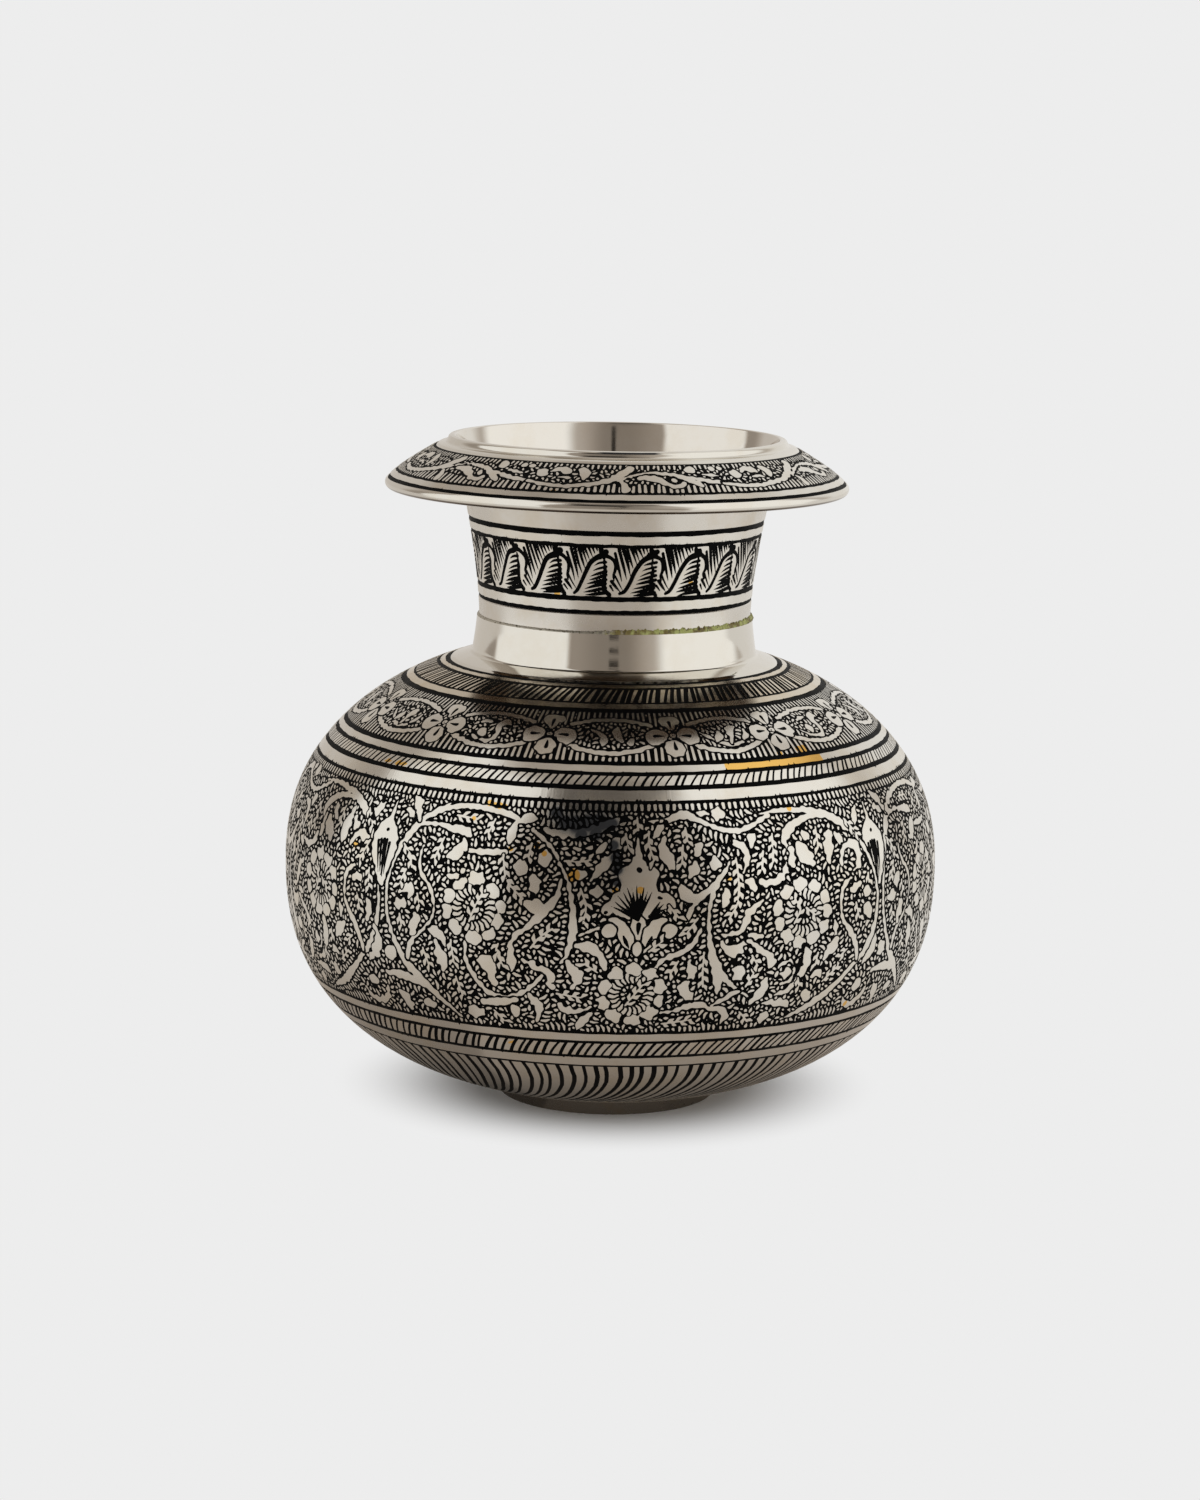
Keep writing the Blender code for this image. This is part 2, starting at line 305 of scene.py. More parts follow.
front = fade(table, reach, *NEAR_FRONT)
front = blend(table, fade(table, reach, *FAR_FRONT), front, FAR_FRONT_LEVEL)
streak = times(table, between(table, table_bearing, *STREAK), fade(table, reach, *STREAK_REACH))
front = blend(table, streak, front, STREAK_LEVEL)
left = table_side(0.0, 0.14, 0.70, 0.97, 0.64)
right = table_side(-0.01, 0.11, 0.80, 1.03, 0.77)
metal_sees = blend(table, fade(table, table_bearing, *TABLE_RIGHT), front, right)
metal_sees = blend(table, fade(table, table_bearing, *TABLE_LEFT, 1.0, 0.0), metal_sees, left)
edges = maths(table, "MAXIMUM", *(between(table, table_bearing, *edge) for edge in BOX_EDGES))
edges = times(table, edges, fade(table, reach, *BOX_EDGE_REACH))
metal_sees = blend(table, edges, metal_sees, BOX_EDGE_LEVEL)
# Painted shadow of the pot: the glow the metal sees fades to dim towards the foot.
metal_sees = times(table, metal_sees, fade(table, reach, *PAINTED_POT_SHADOW))
for_metal = add_node(table, "Emission", tinted(table, metal_sees))
glow = add_node(table, "Emission", {"Color": (*BACKGROUND, 1.0), "Strength": 1.0})
matt = add_node(table, "BsdfDiffuse", {"Color": (*BACKGROUND, 1.0)})
from_shadow = distance(table, spot[0], maths(table, "SUBTRACT", spot[1], SHADOW_BACK))
for_eye = add_node(table, "MixShader", {
    0: fade(table, from_shadow, SHADOW_FROM, SHADOW_TO), 1: matt.outputs[0], 2: glow.outputs[0]})
table_shader = add_node(table, "MixShader", {
    0: add_node(table, "LightPath").outputs["Is Glossy Ray"], 1: for_eye.outputs[0], 2: for_metal.outputs[0]})
add_node(table, "OutputMaterial", {"Surface": table_shader.outputs[0]})
table_points = TABLE_SIZE / 2 * np.array([(-1, -1, 0), (1, -1, 0), (1, 1, 0), (-1, 1, 0)])
table_top = place("table_top", new_mesh("table_top", table_points, np.array([(0, 1, 2, 3)])), table_material)

# Lower bowl: the spun lower half of the body, brass under white-metal plate. The engraver cut the ground away
# over most of its height and filled it with black lac, so the shell is turned back there by the depth of the
# cuts. It is joined to the shoulder at the belly and filed flush.

FIT_GAP = 0.3 * MM
BELLY_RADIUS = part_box("lower_bowl")[1].x
BELLY_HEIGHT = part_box("upper_shoulder")[0].z - FIT_GAP
BOWL_DEPTH = BELLY_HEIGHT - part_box("lower_bowl")[0].z
BOWL_FULLNESS = 2.4
SHOULDER_RISE = 38.0 * MM
SHOULDER_FULLNESS = 2.2
BODY_WALL = 1.4 * MM
COLLAR_RADIUS = 23.5 * MM
COLLAR_FILLET = 0.5 * MM
COLLAR_SPREAD = 0.36 * MM
COLLAR_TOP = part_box("upper_shoulder")[1].z
LAP_HEIGHT = 2.6 * MM
LAP_WALL = (BODY_WALL - FIT_GAP) / 2
LAC_DROP = 0.1 * MM
CUT_DEPTH = 0.2 * MM
GROUND_DEPTH = 0.26 * MM
CREASE = 35
ENGRAVED_FROM = 4.9 * MM
ENGRAVED_TO = 74.45 * MM


def superellipse(half_width, half_height, fullness, quarter):
    """Quarter curve: radius = half width x cos^(2 / fullness), height = half height x sin^(2 / fullness)."""
    power = 2.0 / fullness
    radius = half_width * np.abs(np.cos(quarter)) ** power
    return np.column_stack((radius, half_height * np.abs(np.sin(quarter)) ** power))


def collar_bend(radius, fillet, half_width, half_height, fullness):
    """Quadratic curve from the shoulder, one fillet outside the collar's radius, up into the collar."""
    foot = half_height * (1 - (radius / half_width) ** fullness) ** (1 / fullness)
    start = half_height * (1 - ((radius + fillet) / half_width) ** fullness) ** (1 / fullness)
    first, middle, last = np.array([(radius + fillet, start), (radius, foot), (radius, foot + fillet)])
    share = np.linspace(0, 1, 9)[:, None]
    return (1 - share) ** 2 * first + 2 * share * (1 - share) * middle + share ** 2 * last


def body_outline():
    """Outer side of the body, as (radius, height), from the pole under the bowl to the top of the collar. The
    collar is a little hollow in profile: its radius grows with the way down, and more towards its foot."""
    quarter = np.linspace(0, np.pi / 2, 700)
    low = superellipse(BELLY_RADIUS, -BOWL_DEPTH, BOWL_FULLNESS, quarter)[::-1]
    root = COLLAR_RADIUS + COLLAR_SPREAD
    end = np.arccos(((root + COLLAR_FILLET) / BELLY_RADIUS) ** (SHOULDER_FULLNESS / 2))
    high = superellipse(BELLY_RADIUS, SHOULDER_RISE, SHOULDER_FULLNESS, np.linspace(0, end, 500))[1:]
    bend = collar_bend(root, COLLAR_FILLET, BELLY_RADIUS, SHOULDER_RISE, SHOULDER_FULLNESS)[1:]
    way = np.linspace(1, 0, 13)[1:]
    spread = COLLAR_SPREAD * (2 * (0.65 * way + 0.35 * way ** 2) - 1)
    top = COLLAR_TOP - BELLY_HEIGHT
    collar = np.column_stack((COLLAR_RADIUS + spread, top + way * (bend[-1, 1] - top)))
    points = np.vstack((low, high, bend, collar))
    points[:, 1] += BELLY_HEIGHT
    return points


def measure(points):
    """Adds to an outline the length run along it and the direction it faces, for use as a curved ruler."""
    steps = np.hypot(*np.diff(points, axis=0).T)
    run = np.concatenate(([0.0], np.cumsum(steps)))
    along = np.gradient(points, run, axis=0)
    along /= np.hypot(*along.T)[:, None]
    return {"run": run, "point": points, "facing": np.column_stack((along[:, 1], -along[:, 0]))}


def run_at(outline, level):
    """Length along an outline where it reaches a height."""
    order = np.argsort(outline["point"][:, 1])
    return float(np.interp(level, outline["point"][order, 1], outline["run"][order]))


def around(turn, radius, level):
    """Points in space at a turn about the axis, where 0 faces the camera, and a radius and height."""
    return np.stack((radius * np.sin(turn), -radius * np.cos(turn), level + 0 * turn), axis=-1)


def on_surface(outline, turn, run, lift=0.0):
    """Points in space for a turn about the axis and a run along the outline, lifted off it."""
    radius, level = (np.interp(run, outline["run"], values) for values in outline["point"].T)
    out, rise = (np.interp(run, outline["run"], values) for values in outline["facing"].T)
    return around(turn, radius + lift * out, level + lift * rise)


def turned(name, profile, material, segments=240):
    """Closed profile swept round the axis: corner (i, j) is profile point j at the i-th of even turns.
    The profile runs down the outer side and up the inner one, so that the faces point out."""
    profile = np.asarray(profile)
    turns = np.linspace(0, 2 * np.pi, segments, endpoint=False)[:, None]
    points = around(turns, profile[None, :, 0], profile[None, :, 1])
    here = np.arange(points[..., 0].size).reshape(segments, -1)
    nearby = np.roll(here, -1, axis=0)
    faces = np.stack((here, np.roll(here, -1, axis=1), np.roll(nearby, -1, axis=1), nearby), axis=-1)
    mesh = new_mesh(name, points.reshape(-1, 3), faces.reshape(-1, 4))
    tool = bmesh.new()
    tool.from_mesh(mesh)
    bmesh.ops.remove_doubles(tool, verts=tool.verts, dist=1e-7)
    bmesh.ops.dissolve_degenerate(tool, edges=tool.edges, dist=1e-8)
    bmesh.ops.recalc_face_normals(tool, faces=tool.faces)
    tool.to_mesh(mesh)
    tool.free()
    return place(name, mesh, material, CREASE)


LINES_PER_METRE = 9000.0
RUB_TURNS_AND_SCALES = [((0.5, 0.9, 0.3), (500.0, 9000.0, 900.0)), ((1.1, -0.6, 0.8), (9000.0, 600.0, 700.0))]
PLATE_STAIN = (0.86, 0.76, 0.60)
BARE_BRASS = (0.83, 0.50, 0.13)
LAC_FILM = (0.055, 0.057, 0.062)
PAINTED_SHADE_BROWN = (0.09, 0.06, 0.04)


def plate_marks():
    """Node group for polished white-metal plate over brass: colour, roughness and height. Fine lines run
    round the pot where it was turned, rubbing scratches run two ways, stains warm the plate, brass shows with
    a broken edge where the attribute "bare" is set, and a film of lac where "soot" is set."""
    group = bpy.data.node_groups.new("plate_marks", "ShaderNodeTree")
    for socket in ("Turning", "Rubbing", "Staining", "Polish"):
        group.interface.new_socket(socket, in_out="INPUT", socket_type="NodeSocketFloat")
    group.interface.new_socket("Plate Colour", in_out="INPUT", socket_type="NodeSocketColor")
    group.interface.new_socket("Colour", in_out="OUTPUT", socket_type="NodeSocketColor")
    group.interface.new_socket("Roughness", in_out="OUTPUT", socket_type="NodeSocketFloat")
    group.interface.new_socket("Height", in_out="OUTPUT", socket_type="NodeSocketFloat")
    given = group.nodes.new("NodeGroupInput")
    result = group.nodes.new("NodeGroupOutput")
    where = add_node(group, "TexCoord").outputs["Object"]
    x, y, z = add_node(group, "SeparateXYZ", {"Vector": where}).outputs
    lathe = add_node(group, "CombineXYZ", {
        0: times(group, maths(group, "ARCTAN2", x, y), 1.5), 1: times(group, z, LINES_PER_METRE),
        2: times(group, distance(group, x, y), LINES_PER_METRE)})
    lines = times(group, noise(group, lathe.outputs[0], 1.0, 3.0), given.outputs["Turning"])
    rubs = []
    for turns, scale in RUB_TURNS_AND_SCALES:
        grain = add_node(group, "Mapping", {"Vector": where, "Rotation": turns, "Scale": scale})
        rubs.append(noise(group, grain.outputs[0], 1.0, 2.0))
    rubbed = times(group, plus(group, *rubs), given.outputs["Rubbing"])
    smears = noise(group, where, 90.0, 4.0, Distortion=0.6)
    cloud = noise(group, where, 420.0, 5.0, Roughness=0.6)
    stain = fade(group, plus(group, times(group, smears, 0.6), cloud, 0.4), 0.44, 0.66)
    stain = times(group, stain, given.outputs["Staining"])
    warmed = mix_colours(group, 1.0, given.outputs["Plate Colour"], PLATE_STAIN, "MULTIPLY")
    plate = mix_colours(group, stain, given.outputs["Plate Colour"], warmed)
    bare = add_node(group, "Attribute", attribute_name="bare").outputs["Fac"]
    bare = fade(group, roughened(group, bare, cloud, 0.9), 0.42, 0.58)
    soot = add_node(group, "Attribute", attribute_name="soot").outputs["Fac"]
    film = fade(group, roughened(group, soot, cloud, 0.5), 0.2, 0.8)
    colour = mix_colours(group, film, mix_colours(group, bare, plate, BARE_BRASS), LAC_FILM)
    rough = roughened(group, given.outputs["Polish"], smears, 0.16, 0.4)
    rough = plus(group, plus(group, rough, stain, 0.12), film, 0.3)
    height = plus(group, plus(group, lines, rubbed), cloud, 0.5)
    group.links.new(colour, result.inputs["Colour"])
    group.links.new(maths(group, "MAXIMUM", rough, 0.03), result.inputs["Roughness"])
    group.links.new(height, result.inputs["Height"])
    return group


marks = plate_marks()


def plated(name, colour=(0.76, 0.735, 0.68), turning=0.6, rubbing=0.3, staining=0.35, polish=0.16, under=0.0):
    """White-metal plate with its own share of turned lines, rubbing, stains and polish. With a share for
    under, the sides that look down get painted shade: their colour is mixed towards dark brown by how far
    they face down."""
    material = bpy.data.materials.new(name)
    tree = clear_tree(material)
    finish = tree.nodes.new("ShaderNodeGroup")
    finish.node_tree = marks
    for socket, value in enumerate((turning, rubbing, staining, polish, (*colour, 1.0))):
        finish.inputs[socket].default_value = value
    bump = add_node(tree, "Bump", {"Height": finish.outputs["Height"], "Distance": 2.5e-6, "Strength": 1.0})
    normal = add_node(tree, "NewGeometry").outputs["Normal"]
    upward = add_node(tree, "SeparateXYZ", {"Vector": normal}).outputs[2]
    # Painted shade: the more a side faces down, the more its colour turns dark brown.
    tarnish = fade(tree, upward, -0.7, -0.35, under, 0.0)
    colour = mix_colours(tree, tarnish, finish.outputs["Colour"], PAINTED_SHADE_BROWN)
    shader = add_node(tree, "BsdfPrincipled", {
        "Base Color": colour, "Roughness": finish.outputs["Roughness"], "Metallic": 1.0,
        "Normal": bump.outputs[0]})
    add_node(tree, "OutputMaterial", {"Surface": shader.outputs[0]})
    return material


def bowl_profile():
    """Bowl from the belly joint down its turned-back outer side to the pole, and up inside to the lap."""
    low = body["point"][body["point"][:, 1] <= BELLY_HEIGHT + 1e-9]
    facing = body["facing"][:len(low)]
    cut = (low[:, 1] > ENGRAVED_FROM)[:, None] * GROUND_DEPTH
    outer = (low - facing * cut)[::-4]
    outer[-1] = low[0]
    quarter = np.linspace(np.pi / 2, 0, 45)
    inner = superellipse(BELLY_RADIUS - BODY_WALL, -(BOWL_DEPTH - BODY_WALL), BOWL_FULLNESS, quarter)
    inner[:, 1] += BELLY_HEIGHT
    tongue = BELLY_RADIUS - BODY_WALL + LAP_WALL
    lap = np.array([
        (BELLY_RADIUS - BODY_WALL, BELLY_HEIGHT + LAP_HEIGHT), (tongue, BELLY_HEIGHT + LAP_HEIGHT),
        (tongue, BELLY_HEIGHT)])
    return np.vstack((outer, inner, lap))


body = measure(body_outline())
inside_plate = plated("plate_inside", colour=(0.62, 0.57, 0.48), turning=1.0, staining=0.9, polish=0.3)
bowl_shell = turned("bowl_shell", bowl_profile(), inside_plate)
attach(bowl_shell, "root")
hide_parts("lower_bowl")

# Foot ring: a low brass ring turned all over and soldered under the bowl, a little wider at its top.
# Its plate is duller than the body's, rubbed and stained all over.

FOOT_RADIUS = 18.4 * MM
FOOT_FLARE = 0.6 * MM
FOOT_WIDTH = 2.0 * MM
FOOT_ROUNDING = 0.3 * MM


def foot_profile():
    """Ring down its flared outer side, round the two rounded edges of its face, and up the bore."""
    low = body["point"][body["point"][:, 1] < BELLY_HEIGHT]
    seat = np.linspace(FOOT_RADIUS - FOOT_WIDTH, FOOT_RADIUS + FOOT_FLARE, 7)
    upper = np.column_stack((seat, np.interp(seat, low[:, 0], low[:, 1]) - FIT_GAP))
    turns = np.linspace(0, np.pi / 2, 6)[:, None]
    corner = FOOT_ROUNDING * np.hstack((np.cos(turns), -np.sin(turns)))
    outer = corner + (FOOT_RADIUS - FOOT_ROUNDING, FOOT_ROUNDING)
    inner = corner[::-1] * (-1, 1) + (FOOT_RADIUS - FOOT_WIDTH + FOOT_ROUNDING, FOOT_ROUNDING)
    return np.vstack((upper[-1:], outer, inner, upper[:-1]))


foot_plate = plated(
    "plate_foot", colour=(0.46, 0.42, 0.37), turning=1.0, rubbing=0.8, staining=0.8, polish=0.26)
foot_shell = turned("foot_shell", foot_profile(), foot_plate, 160)
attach(foot_shell, "root")
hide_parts("foot_ring")

# Upper shoulder: the spun upper half, from the belly joint over the shoulder to the plain upright collar.
# Its lower part is turned back for the engraved bands as the bowl is; the collar and the slope under it stay
# plain, polished on the lathe.

COLLAR_POINTS = 22
INNER_COLLAR_BEND = 1.8 * MM


def shoulder_profile():
    """Shoulder from the top of the collar down the outer side to the belly, and up inside lap and wall."""
    high = body["point"][body["point"][:, 1] >= BELLY_HEIGHT]
    facing = body["facing"][-len(high):]
    cut = (high[:, 1] < ENGRAVED_TO)[:, None] * GROUND_DEPTH
    outer = (high - facing * cut)[::-1]
    outer = np.vstack((outer[:COLLAR_POINTS], outer[COLLAR_POINTS:-1:4], outer[-1:]))
    step = BELLY_RADIUS - LAP_WALL
    lap = np.array([(step, BELLY_HEIGHT), (step, BELLY_HEIGHT + LAP_HEIGHT + FIT_GAP)])
    bore = COLLAR_RADIUS - BODY_WALL
    bend = INNER_COLLAR_BEND + BODY_WALL
    half_width, rise = BELLY_RADIUS - BODY_WALL, SHOULDER_RISE - BODY_WALL
    first = np.arcsin(((LAP_HEIGHT + FIT_GAP) / rise) ** (SHOULDER_FULLNESS / 2))
    last = np.arccos(((bore + bend) / half_width) ** (SHOULDER_FULLNESS / 2))
    inner = superellipse(half_width, rise, SHOULDER_FULLNESS, np.linspace(first, last, 30))
    turn_up = collar_bend(bore, bend, half_width, rise, SHOULDER_FULLNESS)[1:]
    inner = np.vstack((inner, turn_up)) + (0, BELLY_HEIGHT)
    return np.vstack((outer, lap, inner, [(bore, COLLAR_TOP)]))


shoulder_plate = plated("plate_shoulder", turning=0.35, rubbing=0.2, staining=0.15, polish=0.05)
shoulder_shell = turned("shoulder_shell", shoulder_profile(), shoulder_plate)
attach(shoulder_shell, "root")
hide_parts("upper_shoulder")

# Engraving: the ornament is drawn on the plated body, and the ground round every motif is cut away 0.2 mm
# deep. Hot black lac is pressed into the cuts and rubbed down to just below the metal, which is left standing
# bright.

LAC_BLACK = (0.0008, 0.0008, 0.0009)
LAC_DUST = (0.008, 0.0075, 0.007)


def black_lac(name):
    """Lac rubbed down with grit: near black, faintly grained, with a broken gloss and metal dust in it."""
    material = bpy.data.materials.new(name)
    tree = clear_tree(material)
    where = add_node(tree, "TexCoord").outputs["Object"]
    grain = noise(tree, where, 5200.0, 3.0, Roughness=0.7)
    patches = noise(tree, where, 160.0, 4.0)
    dust = fade(tree, grain, 0.62, 0.74)
    colour = mix_colours(tree, dust, LAC_BLACK, LAC_DUST)
    rough = plus(tree, 0.35, patches, 0.35)
    bump = add_node(tree, "Bump", {"Height": grain, "Distance": 1.5e-5, "Strength": 0.8})
    shader = add_node(tree, "BsdfPrincipled", {
        "Base Color": colour, "Roughness": rough, "Normal": bump.outputs[0], "Specular IOR Level": 0.04})
    add_node(tree, "OutputMaterial", {"Surface": shader.outputs[0]})
    return material


LAC_CLEARANCE = 0.02 * MM


def lac_filling(name, outline, level_from, level_to, steps, slot):
    """Closed ring of lac: its face follows the outline just under the metal, its back lies in the ground."""
    run = np.linspace(run_at(outline, level_to), run_at(outline, level_from), steps)
    face = on_surface(outline, np.pi / 2, run, -LAC_DROP)[:, ::2]
    back = on_surface(outline, np.pi / 2, run[::-1], LAC_CLEARANCE - GROUND_DEPTH)[:, ::2]
    ring = turned(name, np.vstack((face, back)), lac)
    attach(ring, "root")


lac = black_lac("black_lac")
lac_filling("lac_in_bowl", body, ENGRAVED_FROM, BELLY_HEIGHT, 36, "bowl_metal")
lac_filling("lac_in_shoulder", body, BELLY_HEIGHT, ENGRAVED_TO, 40, "shoulder_metal")


WOBBLE_WAVES = 0.62
WOBBLE_SPREAD = 0.28


def blank(outline, level_from, level_to, spacing=0.185):
    """Blank for one engraved band: a grid of places across, round the pot from 0 in front, and up the
    outline, in millimetres. The metal field is above zero where metal stands. The wobble is noise with waves
    of about 1.6 mm, which makes outlines uneven, as a hand-held graver does."""
    start, end = run_at(outline, level_from), run_at(outline, level_to)
    run = np.linspace(start, end, 50)
    girth = 2 * np.pi * np.interp(run, outline["run"], outline["point"][:, 0]).max() / MM
    height = (end - start) / MM
    columns, rows = int(round(girth / spacing)), int(round(height / spacing)) + 1
    waviness = np.fft.rfft2(np.random.default_rng(rows).normal(size=(rows, columns)))
    waves = np.hypot(np.fft.fftfreq(rows, spacing)[:, None], np.fft.rfftfreq(columns, spacing)[None, :])
    wobble = np.fft.irfft2(waviness * np.exp(-((waves - WOBBLE_WAVES) / WOBBLE_SPREAD) ** 2), (rows, columns))
    fields = {key: np.full((rows, columns), value, np.float32) for key, value in (
        ("metal", -9.0), ("clear", 9.0), ("strokes", 9.0))}
    return {
        "outline": outline, "start": start, "girth": girth, "height": height, "step": girth / columns,
        "across": (np.arange(columns) / columns - 0.5) * girth, "up": np.linspace(0, height, rows),
        "wobble": (wobble / wobble.std()).astype(np.float32), **fields}


def band_blank(outline, datum, low, high, spacing=0.185):
    """Blank between two rises, in millimetres along the outline from a datum height."""
    start = run_at(outline, datum)
    levels = [np.interp(start + rise * MM, outline["run"], outline["point"][:, 1]) for rise in (low, high)]
    return blank(outline, *levels, spacing)


def drawn(plate, path, random, drift, turn=0.0, middle=0.0, squeeze=1.0, drop=0.0):
    """Control points of a stroke in millimetres on a blank. They are given in degrees from a middle, which
    comes to a turn round the pot, and in millimetres up; each is moved by a drift, as a hand does."""
    knots = np.array(path, float)
    knots[:, 0] = (turn + (knots[:, 0] - middle) * squeeze) * (plate["girth"] / 360)
    knots[:, 1] -= drop
    knots[:, :2] += random.normal(0, drift, knots[:, :2].shape)
    return knots


def smooth(points, steps=5):
    """Catmull-Rom curve through rows of (across, up, half width), each span cut into even steps."""
    knots = np.array(points, float)
    knots = np.vstack((2 * knots[0] - knots[1], knots, 2 * knots[-1] - knots[-2]))
    share = np.linspace(0, 1, steps, endpoint=False)[:, None]
    spans = []
    for before, first, last, after in zip(knots, knots[1:], knots[2:], knots[3:]):
        bend = 2 * before - 5 * first + 4 * last - after
        twist = 3 * first - before - 3 * last + after
        spans.append(first + 0.5 * share * (last - before + share * (bend + share * twist)))
    return np.vstack(spans + [knots[-2:-1]])


def stroke_distance(path, across, up):
    """Signed distance to a stroke of changing width: the least, over the straight pieces of its middle line,
    of the distance to the piece less the half width there."""
    x = across[None, None, :] - path[:-1, 0, None, None]
    y = up[None, :, None] - path[:-1, 1, None, None]
    dx, dy, dw = (np.diff(path, axis=0)[:, k, None, None] for k in range(3))
    share = np.clip((x * dx + y * dy) / np.maximum(dx * dx + dy * dy, 1e-9), 0, 1)
    reach = np.hypot(x - share * dx, y - share * dy) - np.abs(path[:-1, 2, None, None] + share * dw)
    return reach.min(axis=0)


def windows(plate, paths, margin):
    """Parts of the grid that a motif reaches, also over the seam at the back, with places across and up."""
    every = np.vstack(paths)
    wide = every[:, 2].max() + margin
    low, high = every[:, :2].min(axis=0) - wide, every[:, :2].max(axis=0) + wide
    rows = np.searchsorted(plate["up"], (low[1], high[1]))
    for shift in (-plate["girth"], 0.0, plate["girth"]):
        columns = np.searchsorted(plate["across"], (low[0] + shift, high[0] + shift))
        if rows[0] < rows[1] and columns[0] < columns[1]:
            across, up = plate["across"][slice(*columns)] - shift, plate["up"][slice(*rows)]
            yield (slice(*rows), slice(*columns)), across, up


def lay(plate, paths, gap=0.34, uneven=0.08, margin=0.7):
    """Lays a motif of one or more strokes: clears a line round it and leaves the motif standing."""
    for here, across, up in windows(plate, paths, margin):
        reach = np.min([stroke_distance(path, across, up) for path in paths], axis=0)
        reach = reach + uneven * plate["wobble"][here]
        plate["metal"][here] = np.maximum(np.minimum(plate["metal"][here], reach - gap), -reach)
        plate["clear"][here] = np.minimum(plate["clear"][here], reach)


def cut(plate, paths):
    """Cuts strokes into whatever metal stands there."""
    for here, across, up in windows(plate, paths, 0.3):
        for path in paths:
            plate["metal"][here] = np.minimum(plate["metal"][here], stroke_distance(path, across, up))


STROKE_GAP = 0.34


def fill(plate, path, gap=0.28):
    """Leaves a small stroke standing in the ground, kept clear of the motifs and the strokes made before."""
    for here, across, up in windows(plate, [path], 0.25):
        reach = stroke_distance(path, across, up)
        strokes = plate["strokes"][here]
        shape = np.minimum(np.minimum(-reach, plate["clear"][here] - gap), strokes - STROKE_GAP)
        plate["metal"][here] = np.maximum(plate["metal"][here], shape)
        plate["strokes"][here] = np.minimum(strokes, reach)


def room_round(plate):
    """Distance and direction from each place to the nearest standing metal or band edge, by jump flooding:
    every place asks neighbours at halving distances which metal is nearest to them, and keeps the nearest."""
    metal = plate["metal"] > 0
    metal[0], metal[-1] = True, True
    number = np.arange(len(metal))
    best = np.where(metal, 0.0, 1e6).astype(np.float32)
    off_row, off_column = np.zeros_like(best), np.zeros_like(best)
    for jump in (32, 16, 8, 4, 2, 1, 1):
        for down in (-jump, 0, jump):
            for along in (-jump, 0, jump):
                if down == 0 and along == 0:
                    continue
                ask = (number + down).clip(0, number[-1])
                rows = np.roll(off_row[ask], -along, axis=1) + (ask - number)[:, None]
                columns = np.roll(off_column[ask], -along, axis=1) + along
                known = np.roll(best[ask], -along, axis=1) < 1e5
                reach = np.where(known, np.hypot(rows, columns), 1e6).astype(np.float32)
                nearer = reach < best
                best[nearer] = reach[nearer]
                off_row[nearer], off_column[nearer] = rows[nearer], columns[nearer]
    return best * plate["step"], off_column * plate["step"], off_row * plate["step"]


def walk(places, pitch):
    """Picks places at least a pitch apart, stepping each time to the nearest that is left."""
    picked = []
    left = places
    here = left[0] if len(left) else None
    while here is not None:
        picked.append(here)
        gap = np.hypot(left[:, 0] - here[0], left[:, 1] - here[1])
        left, gap = left[gap > pitch], gap[gap > pitch]
        here = left[np.argmin(gap)] if len(left) else None
    return np.array(picked)


STILL_BEHIND = 0.3


def run_out(toward, places, step, limit):
    """How far each place can run away from its nearest metal until other metal is nearer: the first of even
    steps at which the direction to the nearest metal has turned."""
    rows, columns = places.T
    facing = toward[rows, columns]
    free = np.full(len(rows), limit)
    for reach in np.arange(limit, 0.5 * step, -step):
        row = np.rint(rows - facing[:, 1] * reach / step).astype(int).clip(0, len(toward) - 1)
        column = np.rint(columns - facing[:, 0] * reach / step).astype(int) % toward.shape[1]
        free[(toward[row, column] * facing).sum(axis=1) < STILL_BEHIND] = reach
    return free


def ground_places(plate, low, high, limit):
    """Places whose room is within limits, as (across, up, free run outwards, room, direction to metal)."""
    room, toward_x, toward_y = room_round(plate)
    toward = np.stack((toward_x, toward_y), axis=-1) / np.maximum(room, 1e-6)[..., None]
    found = []
    for least, most in zip(low, high):
        spots = np.argwhere((room > least) & (room < most))
        spots = spots[(spots[:, 0] > 1) & (spots[:, 0] < len(room) - 2)]
        rows, columns = spots.T
        free = run_out(toward, spots, plate["step"], limit)
        found.append(np.column_stack((
            plate["across"][columns], plate["up"][rows], free, room[rows, columns], toward[rows, columns])))
    return found


INWARD = 0.45
LEAST_RUN = 0.55
HATCH_GAP = 0.33
RUNG_ROOM = (0.45, 1.3)
RUNG_CLEARANCE = 0.14


def hatch(plate, random, pitch=0.86, length=1.5, width=0.5, row_gap=0.23, rows=4):
    """Fills the ground with rows of short curved strokes that follow the motifs, each standing across its
    row. Room too narrow for a row along both its sides, and what is left in corners, gets single rungs."""
    step = plate["step"]

    def stroke(place, facing, inward, outward):
        """One stroke from a place towards its metal and away from it, leaning and bent a little."""
        along = facing + random.uniform(0.2, 0.45) * np.array((-facing[1], facing[0]))
        near, far = place + along * inward, place - along * outward
        bend = np.array((-along[1], along[0])) * (inward + outward) * random.uniform(0.06, 0.16)
        wide = width / 2 * random.uniform(0.85, 1.12)
        path = [(*far, wide * 0.4), (*((near + far) / 2 + bend), wide), (*near, wide * 0.6)]
        fill(plate, np.array(path), HATCH_GAP)

    levels = row_gap + INWARD + np.arange(rows) * (length + row_gap)
    for places in ground_places(plate, levels - 0.6 * step, levels + 0.6 * step, length):
        for place in walk(places[places[:, 2] > LEAST_RUN], pitch):
            stroke(place[:2], place[4:], INWARD, min(length - INWARD, place[2] - row_gap / 2))
    places, = ground_places(plate, RUNG_ROOM[:1], RUNG_ROOM[1:], 2 * step)
    for place in walk(places[places[:, 2] < 1.5 * step], pitch):
        stroke(place[:2], place[4:], place[3] - RUNG_CLEARANCE, place[3] - RUNG_CLEARANCE)


